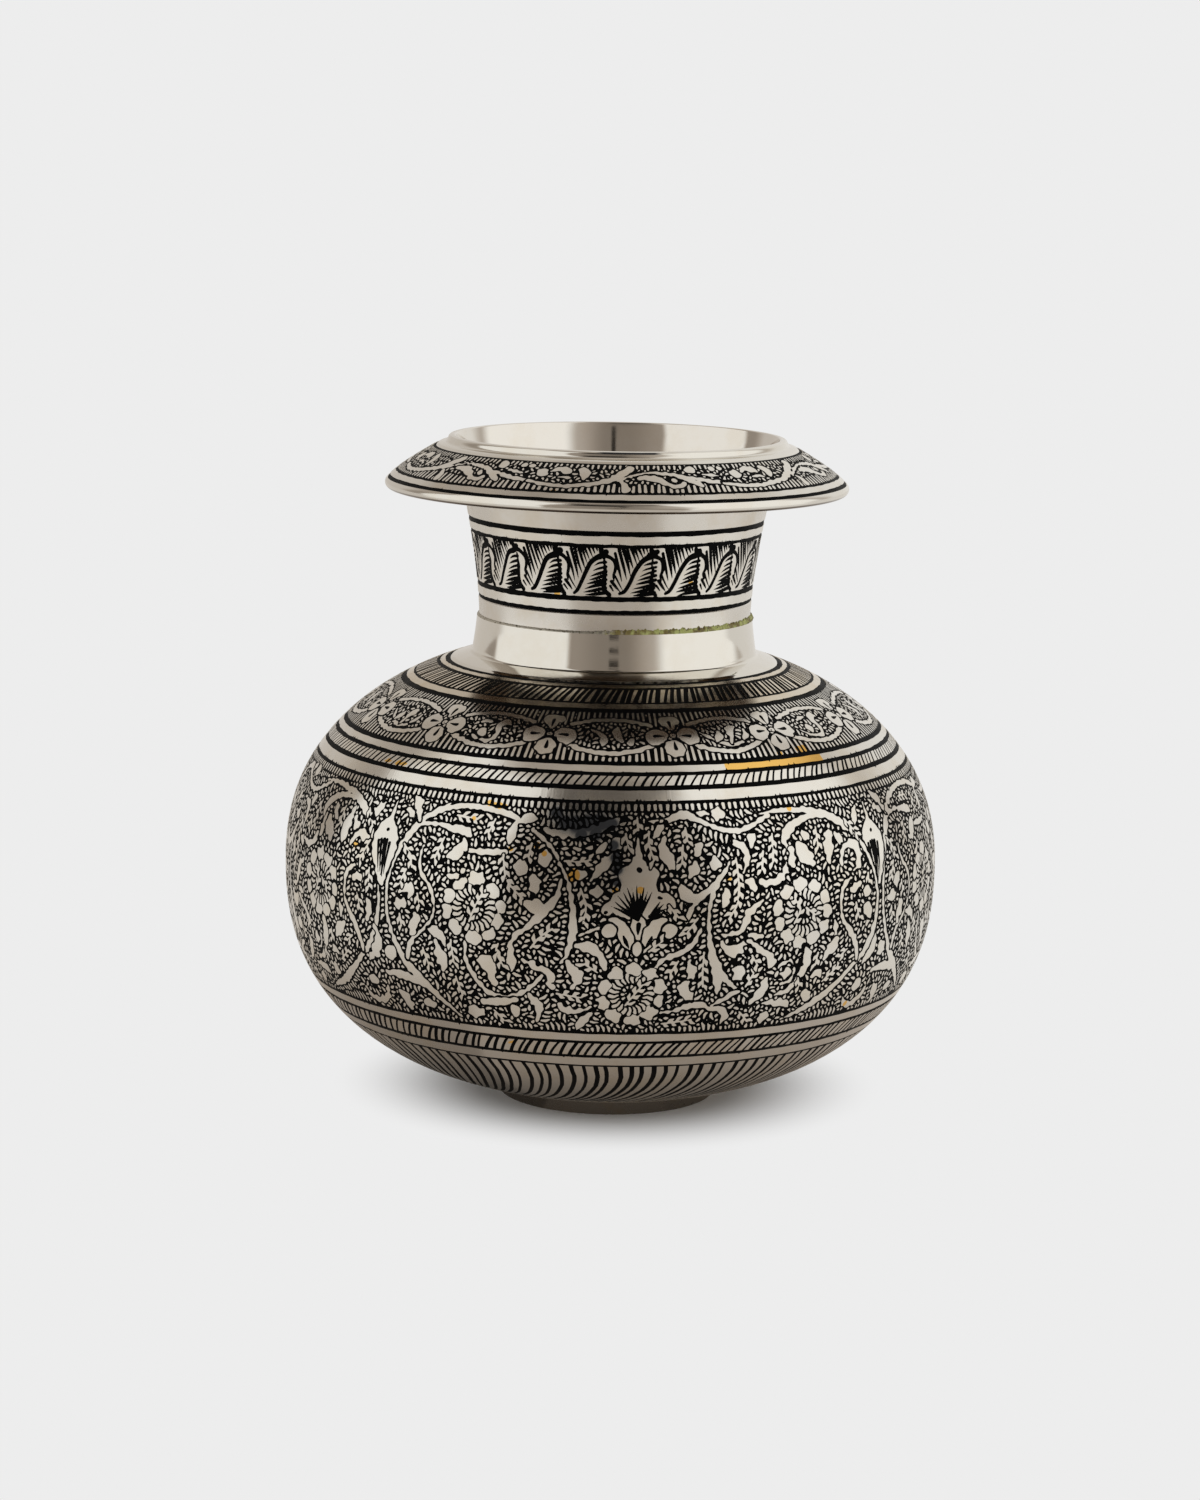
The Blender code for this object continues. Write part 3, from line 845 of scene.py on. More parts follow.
def raised(outline, turn, run):
    """Points on an outline's surface, followed by the same points at the bottom of the cuts."""
    return np.vstack([on_surface(outline, turn, run, lift).reshape(-1, 3) for lift in (0.0, -CUT_DEPTH)])


def spotted(x, y, spots, spread=1.6):
    """Cover of places by spots of (x, y, radius) in millimetres: spread - distance / radius, from 0 to 1."""
    cover = np.zeros(len(x))
    for across, up, radius in spots:
        cover = np.maximum(cover, np.clip(spread - np.hypot(x - across, y - up) / radius, 0, 1))
    return cover


def paint(mesh, layer, values):
    """Stores a number for each point of a mesh, from the first on, which its material reads by name."""
    every = np.zeros(len(mesh.vertices), np.float32)
    every[:len(values)] = values
    mesh.attributes.new(layer, "FLOAT", "POINT").data.foreach_set("value", every)


def standing_metal(name, mesh, material):
    """Makes a piece of the metal that stands between the cuts."""
    piece = place(name, mesh, material, CREASE)
    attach(piece, "root")


SQUARE_CORNERS = {
    1: [(0, 4, 7)], 2: [(4, 1, 5)], 4: [(5, 2, 6)], 8: [(6, 3, 7)], 3: [(0, 1, 5, 7)], 6: [(4, 1, 2, 6)],
    12: [(5, 2, 3, 7)], 9: [(0, 4, 6, 3)], 5: [(0, 4, 7), (5, 2, 6)], 10: [(4, 1, 5), (6, 3, 7)],
    7: [(0, 1, 2, 6, 7)], 14: [(4, 1, 2, 3, 7)], 13: [(0, 4, 5, 2, 3)], 11: [(0, 1, 5, 6, 3)],
    15: [(0, 1, 2, 3)]}


def raise_metal(plate, name, material, first=0.0, last=1.0, bare_spots=(), soot_spots=()):
    """Mesh of the metal left standing in part of a band, by marching squares: each square of the grid keeps
    the side of it where the metal field is above zero, an edge that changes sign is cut where the field
    passes zero, and the cut edge gets a wall down into the lac."""
    field = plate["metal"]
    columns = np.arange(int(first * field.shape[1]), int(last * field.shape[1]) + 1)
    across = plate["across"][0] + columns * plate["step"]
    field = field[:, columns % field.shape[1]].astype(float)
    field[0], field[-1] = -0.1, -0.1
    field = np.where(np.abs(field) < 1e-3, -1e-3, field)
    up = plate["up"]
    inside = field > 0
    corner = np.cumsum(inside).reshape(inside.shape) - 1
    grid_x, grid_y = np.meshgrid(across, up)
    flat = inside[:, :-1] != inside[:, 1:]
    share = np.clip(field[:, :-1] / (field[:, :-1] - field[:, 1:] + 1e-12), 0.06, 0.94)
    flat_x = (grid_x[:, :-1] + share * plate["step"])[flat]
    flat_y = grid_y[:, :-1][flat]
    flat_id = np.cumsum(flat).reshape(flat.shape) - 1 + inside.sum()
    steep = inside[:-1] != inside[1:]
    share = np.clip(field[:-1] / (field[:-1] - field[1:] + 1e-12), 0.06, 0.94)
    steep_x = grid_x[:-1][steep]
    steep_y = (grid_y[:-1] + share * (up[1] - up[0]))[steep]
    steep_id = np.cumsum(steep).reshape(steep.shape) - 1 + inside.sum() + flat.sum()
    x = np.concatenate((grid_x[inside], flat_x, steep_x))
    y = np.concatenate((grid_y[inside], flat_y, steep_y))
    names = [corner[:-1, :-1], corner[:-1, 1:], corner[1:, 1:], corner[1:, :-1],
             flat_id[:-1], steep_id[:, 1:], flat_id[1:], steep_id[:, :-1]]
    kind = inside[:-1, :-1] + 2 * inside[:-1, 1:] + 4 * inside[1:, 1:] + 8 * inside[1:, :-1]
    total = len(x)
    triangles, edges = [], []
    for case, outlines in SQUARE_CORNERS.items():
        here = kind == case
        for shape in outlines:
            points = [names[k][here] for k in shape]
            for second, third in zip(points[1:], points[2:]):
                triangles.append(np.column_stack((points[0], second, third)))
            for k in range(len(shape)):
                if shape[k] > 3 and shape[k - 1] > 3:
                    edges.append(np.column_stack((points[k - 1], points[k])))
    edges = np.vstack(edges)
    low = edges + total
    triangles.append(np.column_stack((edges[:, 1], edges[:, 0], low[:, 0])))
    triangles.append(np.column_stack((edges[:, 1], low)))
    faces = np.vstack(triangles)
    points = raised(plate["outline"], x / plate["girth"] * 2 * np.pi, plate["start"] + y * MM)
    used = np.zeros(len(points), bool)
    used[faces.ravel()] = True
    faces = (np.cumsum(used) - 1)[faces]
    mesh = new_mesh(name, points[used], faces)
    for layer, spots, spread in (("bare", bare_spots, 1.6), ("soot", soot_spots, 1.3)):
        spots = [(degrees / 360 * plate["girth"], rise, radius) for degrees, rise, radius in spots]
        paint(mesh, layer, spotted(x, y, spots, spread)[used[:total]])
    standing_metal(name, mesh, material)

# Lower bands: curved flutes that fan out from the foot, a rope band above them, and the silver rings between.
# Each flute is the metal between two cut lines; the cuts sweep back and run together towards the foot.

FOOT_DATUM = 4.15 * MM
FLUTES = 148
FLUTE_SWEEP = [
    (2.6, -11.0), (4, -9.5), (6, -7.0), (8, -4.9), (10, -3.3), (12, -2.1), (14, -1.1), (16, -0.35),
    (18, 0.15), (20, 0.35), (21.5, 0.25), (23.3, 0)]
FLUTE_LINE = 0.68
LOWER_ROPE = 222
LOWER_ROPE_WEAR = [(-17.5, 28.6, 0.5), (-12.6, 27.2, 0.4), (-2.2, 28.2, 0.3)]
RING_COLUMNS = 1800
RING_WAVES = (3, 7, 16, 37, 71)


def strips(name, datum, rises, left, right, material, bare_spots=()):
    """Row of separate strips of metal on the body. Each lies between its left and right edge, given in
    degrees at rises in millimetres above the datum, and is two points wide, with walls down into the lac."""
    count, steps = left.shape
    rises = np.broadcast_to(rises, left.shape)
    degrees = np.stack((left, right), axis=-1)
    rises = np.stack((rises, rises), axis=-1).ravel()
    points = raised(body, np.radians(degrees).ravel(), run_at(body, datum) + rises * MM)
    total = len(rises)
    index = np.arange(total).reshape(count, steps, 2)
    a, b, c, d = index[:, :-1, 0], index[:, :-1, 1], index[:, 1:, 1], index[:, 1:, 0]
    faces = [np.stack((a, b, c, d), axis=-1)]
    for one, two in ((d, a), (b, c)):
        faces.append(np.stack((one, two, two, one), axis=-1) + (0, 0, total, total))
    for one, two in ((index[:, 0, 0], index[:, 0, 1]), (index[:, -1, 1], index[:, -1, 0])):
        faces.append(np.stack((two, one, one, two), axis=-1)[:, None] + (0, 0, total, total))
    faces[1:3] = [side[..., ::-1] for side in faces[1:3]]
    mesh = new_mesh(name, points, np.vstack([part.reshape(-1, 4) for part in faces]))
    radius = body["point"][:, 0].max() / MM
    spots = [(np.radians(turn) * radius, rise, size) for turn, rise, size in bare_spots]
    paint(mesh, "bare", spotted(np.radians(degrees.ravel()) * radius, rises, spots))
    standing_metal(name, mesh, material)


def ring_row(name, outline, datum, low, high, material, random, notches=(0, 0), patch=(0, 0)):
    """Silver ring between two cut lines, going all the way round, with hand-cut edges: a slow wobble made of
    a few waves, and narrow nicks where strokes of the neighbouring bands ran over."""
    degrees = np.linspace(-180, 180, RING_COLUMNS, endpoint=False)
    edges = []
    for level, count, side in ((low, notches[0], 1), (high, notches[1], -1)):
        edge = np.full(RING_COLUMNS, float(level))
        for waves in RING_WAVES:
            swing = random.uniform(0.012, 0.03)
            edge += swing * np.sin(np.radians(degrees * waves) + random.uniform(0, 6.28))
        nicks = random.integers(0, RING_COLUMNS, count)
        edge[nicks] += side * random.uniform(0.12, 0.38, count)
        edges.append(edge)
    run = run_at(outline, datum) + np.stack(edges, axis=-1) * MM
    total = 2 * RING_COLUMNS
    index = np.arange(total).reshape(RING_COLUMNS, 2)
    after = np.roll(index, -1, axis=0)
    faces = np.vstack((
        np.column_stack((index[:, 0], after[:, 0], after[:, 1], index[:, 1])),
        np.column_stack((after[:, 0], index[:, 0], index[:, 0] + total, after[:, 0] + total)),
        np.column_stack((index[:, 1], after[:, 1], after[:, 1] + total, index[:, 1] + total))))
    mesh = new_mesh(name, raised(outline, np.radians(degrees)[:, None], run), faces)
    paint(mesh, "bare", np.repeat((degrees > patch[0]) & (degrees < patch[1]), 2))
    standing_metal(name, mesh, material)


def strip_edges(cuts, datum, rises, line, random):
    """Left and right edges of the strips between neighbouring cuts, whose line is given in millimetres."""
    radius = np.interp(run_at(body, datum) + rises * MM, body["run"], body["point"][:, 0])
    half = np.degrees(line * MM / 2 / radius) * random.uniform(0.75, 1.25, (len(cuts), 1))
    after = np.vstack((cuts[1:], cuts[:1] + 360))
    return cuts + half, after - np.vstack((half[1:], half[:1]))


def rope_row(name, datum, low, high, count, slant, line, material, random, bare_spots=()):
    """Rope band: strips between slanting cuts, the cut's shift a straight slope bent a little at its foot."""
    rises = np.linspace(low, high, 5)
    share = np.linspace(-0.5, 0.5, 5)
    start = (np.arange(count) + random.uniform(-0.16, 0.16, count)) * 360 / count - 180
    lean = slant * (1 + random.uniform(-0.22, 0.22, (count, 1)))
    cuts = start[:, None] + lean * (share + 0.25 * (share ** 2 - 0.25))
    left, right = strip_edges(cuts, datum, rises, line, random)
    ends = rises + random.uniform(-0.06, 0.06, (count, 1)) * np.where(np.abs(share) > 0.4, 1, 0)
    strips(name, datum, ends, left, right, material, bare_spots)


def flutes(random):
    """Flutes between swept cuts; the sweep is fuller on one side of the pot, as the graver was held."""
    rises, shift = np.array(FLUTE_SWEEP).T
    start = (np.arange(FLUTES) + random.uniform(-0.14, 0.14, FLUTES)) * 360 / FLUTES - 180
    fullness = 1 - 0.45 * np.sin(np.radians(start)) + random.uniform(-0.05, 0.05, FLUTES)
    cuts = start[:, None] + fullness[:, None] * shift
    cuts += random.uniform(-0.08, 0.08, cuts.shape)
    left, right = strip_edges(cuts, FOOT_DATUM, rises, FLUTE_LINE, random)
    strips("flutes", FOOT_DATUM, rises, left, right, lower_plate)


bands = np.random.default_rng(12)
lower_plate = plated("plate_lower", colour=(0.65, 0.615, 0.56), turning=0.8, staining=0.5, polish=0.2)
flutes(bands)
ring_row("ring_under_flutes", body, FOOT_DATUM, 0.95, 2.15, lower_plate, bands)
ring_row("ring_over_flutes", body, FOOT_DATUM, 23.78, 25.8, lower_plate, bands, (0, 40))
rope_row("lower_rope", FOOT_DATUM, 26.5, 29.3, LOWER_ROPE, 1.6, 0.56, lower_plate, bands,
         LOWER_ROPE_WEAR)
ring_row("ring_under_belly", body, FOOT_DATUM, 29.95, 31.4, lower_plate, bands, (6, 14))

# Belly band: four times the same garden, each with a bud on its border, a lotus, three rosettes, stems,
# leaves and ferns, drawn freehand; rows of short graver strokes fill the ground between them. Strokes are
# (degrees round the pot, mm above the band's lower line, half width in mm), joined to one motif.

BELLY_FROM = 22.2 * MM
BELLY_TO = 58.75 * MM
GARDEN_FROM = -42.0
GARDEN_TO = 52.0
GARDENS = 4
BORDER_PITCH = 1.12

STEMS = [
    [[(-30, 36.4, .12), (-33.5, 34.3, .35), (-36.1, 31.6, .62), (-38.7, 27.6, .45), (-40, 24, .3),
      (-40.4, 21.3, .26), (-40.1, 17.5, .26), (-39.2, 14.5, .32), (-37.8, 11.8, .48), (-36, 9.4, .68),
      (-33.6, 7.2, .72), (-31, 5, .5), (-28.5, 2.8, .3), (-26.3, .8, .08)],
     [(-33.2, 34.2, .4), (-30, 35.7, .45), (-26, 36.4, .42), (-21.7, 36.3, .45), (-18.5, 35.7, .5),
      (-16.3, 34.9, .35)],
     [(-16, 34.6, .3), (-14.6, 35.3, .8), (-13.1, 35.2, .3)],
     [(-16.5, 35, .2), (-17, 33.4, .5), (-17.2, 32.3, .8), (-17.5, 30.8, .1)],
     [(-34.6, 32.6, .35), (-31.5, 32.9, .3), (-28.5, 32.6, .5), (-25.8, 32.2, .75), (-24.6, 31.6, .3)],
     [(-41.3, 7.2, .3), (-38.5, 7.4, .65), (-35.5, 7, .7), (-33, 6.2, .4), (-31.5, 5.6, .25)]],
    [[(-24.5, 29.3, .3), (-21, 29.2, .5), (-18, 29.5, .4)]],
    [[(-13.5, 33.5, .3), (-10, 30.8, .26), (-8.05, 27.7, .2), (-7, 25.8, .22), (-6.3, 23, .34),
      (-6, 20.5, .48), (-5.8, 18, .7), (-6, 16.5, .66), (-6.5, 14.8, .42), (-7.2, 13.3, .26),
      (-9.1, 11.2, .07)],
     [(-8, 25.8, .12), (-8.3, 24.2, .3), (-9.3, 22.2, .6), (-10.9, 20.4, .76), (-12.4, 18.9, .55),
      (-13.8, 17.7, .36), (-15.3, 16.6, .42), (-16.4, 15.2, .3), (-16.9, 14.2, .1)],
     [(-16.4, 14.8, .3), (-16.2, 13, .6), (-16.2, 11.8, .8), (-16.3, 10.6, .15)],
     [(-10.5, 20.3, .3), (-12, 21.2, 1.2), (-14.2, 21.6, .3)]],
    [[(20.9, 28.9, .08), (19, 26.4, .28), (17.4, 24.2, .42), (16.7, 21.5, .26), (16.6, 18, .3), (17, 15, .5),
      (17.9, 12.2, .82), (19.6, 9.9, .5), (22, 7.8, .28), (24.6, 6.2, .1)],
     [(17.7, 13, .4), (18.2, 11, .9), (18.6, 9, .7), (18.6, 7.2, .2)],
     [(20.2, 28, .12), (18, 25.6, .3), (15.8, 23.6, .5), (13.8, 22.9, .7), (12.4, 23.8, .9),
      (11.8, 25.2, .2)],
     [(14.2, 22.2, .3), (13.2, 20.8, .4), (12.7, 19.2, .2)]],
    [[(6.4, 35.3, .15), (9, 35.2, .3), (11.2, 35.8, .5), (12.8, 36.3, .7), (14.6, 35.8, .5), (17, 34.6, .3),
      (20, 33.6, .4), (23.2, 33.4, .4), (26, 34.2, .35), (29, 35.6, .35)],
     [(27, 35.7, .1), (31, 36.1, .32), (36, 35.8, .45), (40.5, 34.9, .6), (44.5, 33, .7), (47, 30.9, .5),
      (49.2, 28.2, .35), (50.7, 25, .27), (51.6, 22, .25), (51.9, 18.8, .28), (51.4, 15.8, .42),
      (50.4, 13.2, .6), (48.9, 11.1, .5), (46.5, 9.2, .4), (43.4, 6.6, .5), (40, 4.2, .72), (36, 2.3, .45),
      (32.5, 1, .1)],
     [(41.5, 34.3, .25), (38, 34.6, .4), (34.8, 34, .55), (32.4, 32.8, .75), (31.2, 31.2, .5),
      (31.9, 29.6, .15)]],
    [[(-33.6, 29, .15), (-33.7, 26.6, .22), (-33, 24.6, .3), (-31.6, 23.2, .3), (-30.6, 21.6, .25),
      (-30.3, 19.6, .2), (-30.8, 17.8, .2), (-32, 16.2, .22), (-33.6, 14.8, .3), (-35, 13.6, .4),
      (-35.7, 12, .4), (-35.9, 10.4, .3)]],
    [[(44.8, 23.9, .3), (43.2, 22.8, .4), (42.5, 21.2, .3), (42.4, 19, .25), (43, 17.2, .3),
      (44.6, 15.4, .5), (46, 13.6, .5), (46.9, 11.6, .4), (47.2, 10.2, .3)]],
    [[(-24.3, 14.7, .25), (-24.3, 11.6, .3), (-22.8, 8.8, .35), (-20.2, 6.3, .4), (-17.3, 5.9, .4),
      (-13.8, 7.4, .35), (-11, 10.2, .25)]],
    [[(-21.7, 4.6, .5), (-18.5, 5.0, .75), (-15.6, 5.6, .3)]],
    [[(8.4, 3.9, .15), (11.5, 4.4, .3), (14, 5.1, .55), (16.2, 5.2, .5), (17.6, 4.4, .3), (19.6, 4.3, .6),
      (20.7, 2.9, .6), (20.2, 1.4, .2)],
     [(17.9, 5, .2), (19.8, 6, .35), (21.8, 6.9, .4), (22.6, 7.2, .2)]],
    [[(-5.2, 15.4, .3), (-3.2, 15.2, .9), (-1.6, 14, .5), (-.8, 12.8, .6), (-.6, 11.8, .3)]],
    [[(-5, 16.9, .12), (-3, 17.9, .2), (-1.6, 18.3, .2)]],
    [[(7.6, 11.8, .15), (9, 13.2, .35), (11.5, 14.2, .4), (14, 15.8, .35), (15.2, 18.2, .2)]]]

LEAVES = [
    [(-37.9, 36.9, .3), (-36.8, 35.6, .8), (-36, 34.2, .6), (-35.3, 32.8, .2)],
    [(-39.2, 34.4, .2), (-37.8, 34, .5), (-36.6, 33.1, .3)],
    [(-33.6, 18.3, .2), (-33.9, 17.4, .75), (-34.6, 15.6, .7), (-35, 14.6, .3)],
    [(-31.4, 16, .3), (-29.8, 15.6, .8), (-28.6, 14.8, .5), (-28.2, 13.6, .2)],
    [(-29.9, 14.2, .3), (-29.3, 12.4, .75), (-28.8, 10.8, .85), (-28.7, 9.3, .3)],
    [(-38.6, 19.2, .3), (-37.2, 19.3, .85), (-36, 19.6, .6)],
    [(-37.5, 21.2, .2), (-36, 21.9, .75), (-35, 22, .6), (-35.4, 20.4, .35)],
    [(-39.7, 10.8, 1.1), (-39.6, 11, 1.1)], [(-22.9, 2.6, .9), (-23.9, 2.6, 1.1)],
    [(-32.4, 2.9, .9), (-33, 2.9, .8)],
    [(-28.3, 27.8, .4), (-26.9, 28.4, .9), (-25.6, 29.9, .6), (-25.9, 31, .2)],
    [(-29, 24.9, .15), (-26.5, 24.9, .35), (-24.6, 26.4, .5)],
    [(-38.9, 4.2, .4), (-37.9, 3.2, .9), (-37.4, 1.6, .6), (-37.8, .6, .2)],
    [(-12.6, 33.6, .2), (-9, 33, .5), (-5, 33.2, .6), (-1.5, 34.3, .6), (.8, 35.2, .5), (2.2, 35.6, .15)],
    [(.2, 30.6, .2), (1.2, 31.8, .9), (1.2, 32.7, .4)],
    [(.5, 30.1, .2), (-.8, 28.5, .75), (-2.3, 27, .5), (-3.2, 25.7, .1)],
    [(-2.4, 29.9, .3), (-1.5, 30.8, .6), (-.9, 31.5, .4)],
    [(-9, 30.6, .12), (-4, 30.9, .2), (-2.9, 31.3, .15)], [(-5, 26.7, .75), (-4.8, 26.7, .75)],
    [(-2.1, 23.9, .8), (-2, 24.1, .85)], [(-11, 28.7, 1), (-11, 28.9, 1.1)],
    [(-15, 27.2, 1.1), (-15, 27.5, 1)], [(-13, 26.4, .2), (-12.4, 24.8, .9), (-12.2, 23.2, .1)],
    [(-22, 12, .5), (-20.6, 11.6, 1.2), (-20, 10.4, .8), (-19.6, 8.8, .6), (-19.2, 7.6, .4)],
    [(-6.8, 12.8, .2), (-6, 12, .7), (-5.3, 10.6, .9), (-5.2, 9.2, .4), (-6.2, 8.2, .3)],
    [(-14.4, 12.6, .3), (-12.6, 11.9, .5), (-10.8, 11.2, .4), (-9.6, 10.4, .6), (-9.7, 9, .5),
     (-9.4, 7.8, .2)],
    [(-13.6, 6.9, .2), (-12.6, 5.6, .6), (-11.8, 4.2, .6), (-12.2, 2.6, .3), (-12.4, 1.6, .15)],
    [(-16.4, 4.4, .2), (-15.9, 3.6, .7), (-16.4, 2.4, .5)],
    [(-8.4, 5.4, .5), (-7.2, 4.4, .6), (-5.6, 4.1, .35), (-4, 4.4, .2), (-2.8, 5.2, .2)],
    [(-2.3, 4.2, .5), (-3.6, 3, .5), (-4.8, 1.6, .6), (-5.4, .5, .2)],
    [(9.3, 33, .3), (8.9, 31.4, .5), (9.3, 30, .9), (10.2, 28.6, .7), (10.9, 27.1, .35)],
    [(9.4, 35, .3), (8.2, 33.9, .6), (7.2, 32.2, .1)],
    [(14.2, 28.6, .8), (13.9, 27.2, .7), (13.2, 26.3, .2)], [(15.1, 31, .7), (14.5, 29.8, .3)],
    [(17.8, 28.2, .9), (18, 28.3, .9)], [(19.2, 36.2, .9), (19.6, 36.3, .8)],
    [(15.4, 36.6, .4), (16.6, 36.5, .5), (17.4, 36.3, .2)],
    [(21, 31.2, .5), (22.5, 30.9, .6), (23.6, 29.6, .5), (23.4, 27.8, .4), (22.6, 26.4, .1)],
    [(25.8, 32.8, .3), (24.9, 31.8, .7), (24.6, 30.6, .3)],
    [(23, 25.2, .3), (24.2, 24.9, .7), (24.6, 23.6, .3)],
    [(19.4, 24.2, .5), (19.5, 22.8, .7), (19, 21.4, .3)],
    [(26, 21.9, .5), (24.2, 20.9, .55), (23.2, 19.2, .6), (22.4, 17.6, .4), (20.6, 16.9, .35),
     (18.8, 17.1, .25)],
    [(18.6, 16, .15), (19.8, 14.8, .6), (21.2, 14.2, 1), (22.6, 15.2, .4), (24.4, 16.2, .7), (26, 16.2, .3)],
    [(22.3, 10.4, 1.1), (22.2, 10.6, 1)], [(13.4, 12.6, .6), (13.9, 11.2, .8), (13.4, 9.6, .3)],
    [(13.6, 9.4, .2), (12.6, 8.3, .8), (13.6, 7, .7), (14.4, 6.3, .2)],
    [(25.4, 25.4, .4), (26.5, 24.7, .45), (29, 24.9, .5), (30.6, 26.2, .5), (31.2, 27.6, .35)],
    [(32.7, 30.6, .2), (32.5, 29, .7), (32.2, 27.6, .5), (31.8, 26.6, .1)],
    [(33.8, 30.6, .3), (34, 29.9, .7), (34.9, 28.6, 1.2), (36, 27.4, .7), (36.4, 26.2, .15)],
    [(35.2, 32.6, .3), (35.8, 31.6, .6), (36.8, 30.4, .4)],
    [(41.6, 33, .2), (41.1, 31.6, .6), (40.4, 29.4, 1), (40.1, 27.6, .5), (40.4, 26.3, .1)],
    [(42.6, 31.6, .3), (43.4, 30.3, .7), (43.4, 29.4, .3)],
    [(42.8, 25.8, .3), (43.2, 28, .35), (44.8, 29.2, .4), (46.6, 28.9, .8), (47.4, 27.4, .7), (47, 25.6, .4),
     (45.6, 24.8, .25)],
    [(44.6, 21.4, .3), (45.6, 22.1, .6), (46.8, 22.4, .45), (47.2, 21.6, .15)],
    [(48.8, 21.2, .8), (48.9, 21.3, .8)], [(48.3, 19, .5), (49.4, 18, 1), (49.8, 16.9, .3)],
    [(41, 17.4, .3), (41.2, 16.4, .5), (41.3, 15, .4)],
    [(42.2, 14.2, .2), (41.4, 13.6, .6), (40.4, 12.6, .9), (39.2, 11.2, .4)],
    [(34.8, 13.8, .7), (35.3, 12, .8), (34.8, 9.8, .6), (33.6, 7.8, .45), (31.8, 6.4, .4), (29.6, 5.9, .2)],
    [(27.6, 4.6, .3), (29.8, 4.5, .5), (32, 4.2, .7), (33.2, 3.4, .3)],
    [(29.2, 9.2, .22), (29.8, 11, .22), (31.8, 11.6, .22), (33, 10.2, .22), (32.4, 8.4, .22),
     (30.6, 7.8, .22)],
    [(31.2, 9.5, .75), (31.3, 9.6, .75)], [(28.3, 1.9, .9), (28.6, 2, .8)],
    [(23, 16.2, .3), (25.5, 14.4, .4), (27.4, 13.2, .5), (28.2, 12, .6), (27.6, 10.6, .2)],
    [(27.4, 9, .8), (27.2, 7.4, .8), (26, 5.8, .6), (24.9, 4.7, .5)],
    [(35.6, 5.8, .6), (36.6, 5, .8), (37.2, 4.4, .5)], [(36.8, 8.4, .3), (38, 8.9, .6), (39, 8.2, .25)],
    [(-46.5, 32, .3), (-45.6, 33.6, .7), (-44.4, 35, .3)],
    [(-45.2, 19.4, .3), (-44.4, 17.4, .7), (-45, 15.4, .3)],
    [(-43.2, 15.2, .2), (-42.4, 12.8, .6), (-43.4, 10.4, .8), (-45, 9, .3)],
    [(-45.2, 5.2, .9), (-45, 5.3, 1)],
    [(-48, 3.2, .2), (-46.8, 1.8, .5), (-44.2, 1.6, .6), (-42.4, 3, .5), (-41.8, 4.6, .2)]]

ROSETTES = [
    ((-22.9, 20.2, 3.1),
     [(-22.5, 24.9, 1.15), (-25.6, 23.8, 1), (-19.6, 23.2, 1.05), (-18.1, 20.9, .9), (-18.5, 18.4, .95),
      (-20.1, 16.2, 1), (-22.9, 15.4, 1.1), (-26.3, 16.9, 1.05), (-27.7, 19.3, 1), (-27.5, 21.7, .95)]),
    ((34.2, 19.4, 3.1),
     [(33.5, 24, 1.15), (30.7, 22.9, 1.05), (36.4, 23.4, 1), (38.6, 21.5, 1), (39.2, 19.1, .9),
      (38.5, 16.7, 1), (36.2, 15.1, 1.05), (33.4, 14.7, 1), (30.8, 15.9, 1.05), (29.3, 18, .95),
      (29, 20.6, 1)]),
    ((3.9, 7.3, 3.0),
     [(4.3, 11.6, 1.05), (1.2, 10.9, 1), (7.1, 10.7, 1.05), (-.7, 8.6, 1), (-.6, 5.6, 1.05), (.9, 3.4, 1.15),
      (4.2, 2.6, 1.1), (7.2, 4, 1.15), (8.5, 6.2, .9), (8.6, 8.7, 1)])]

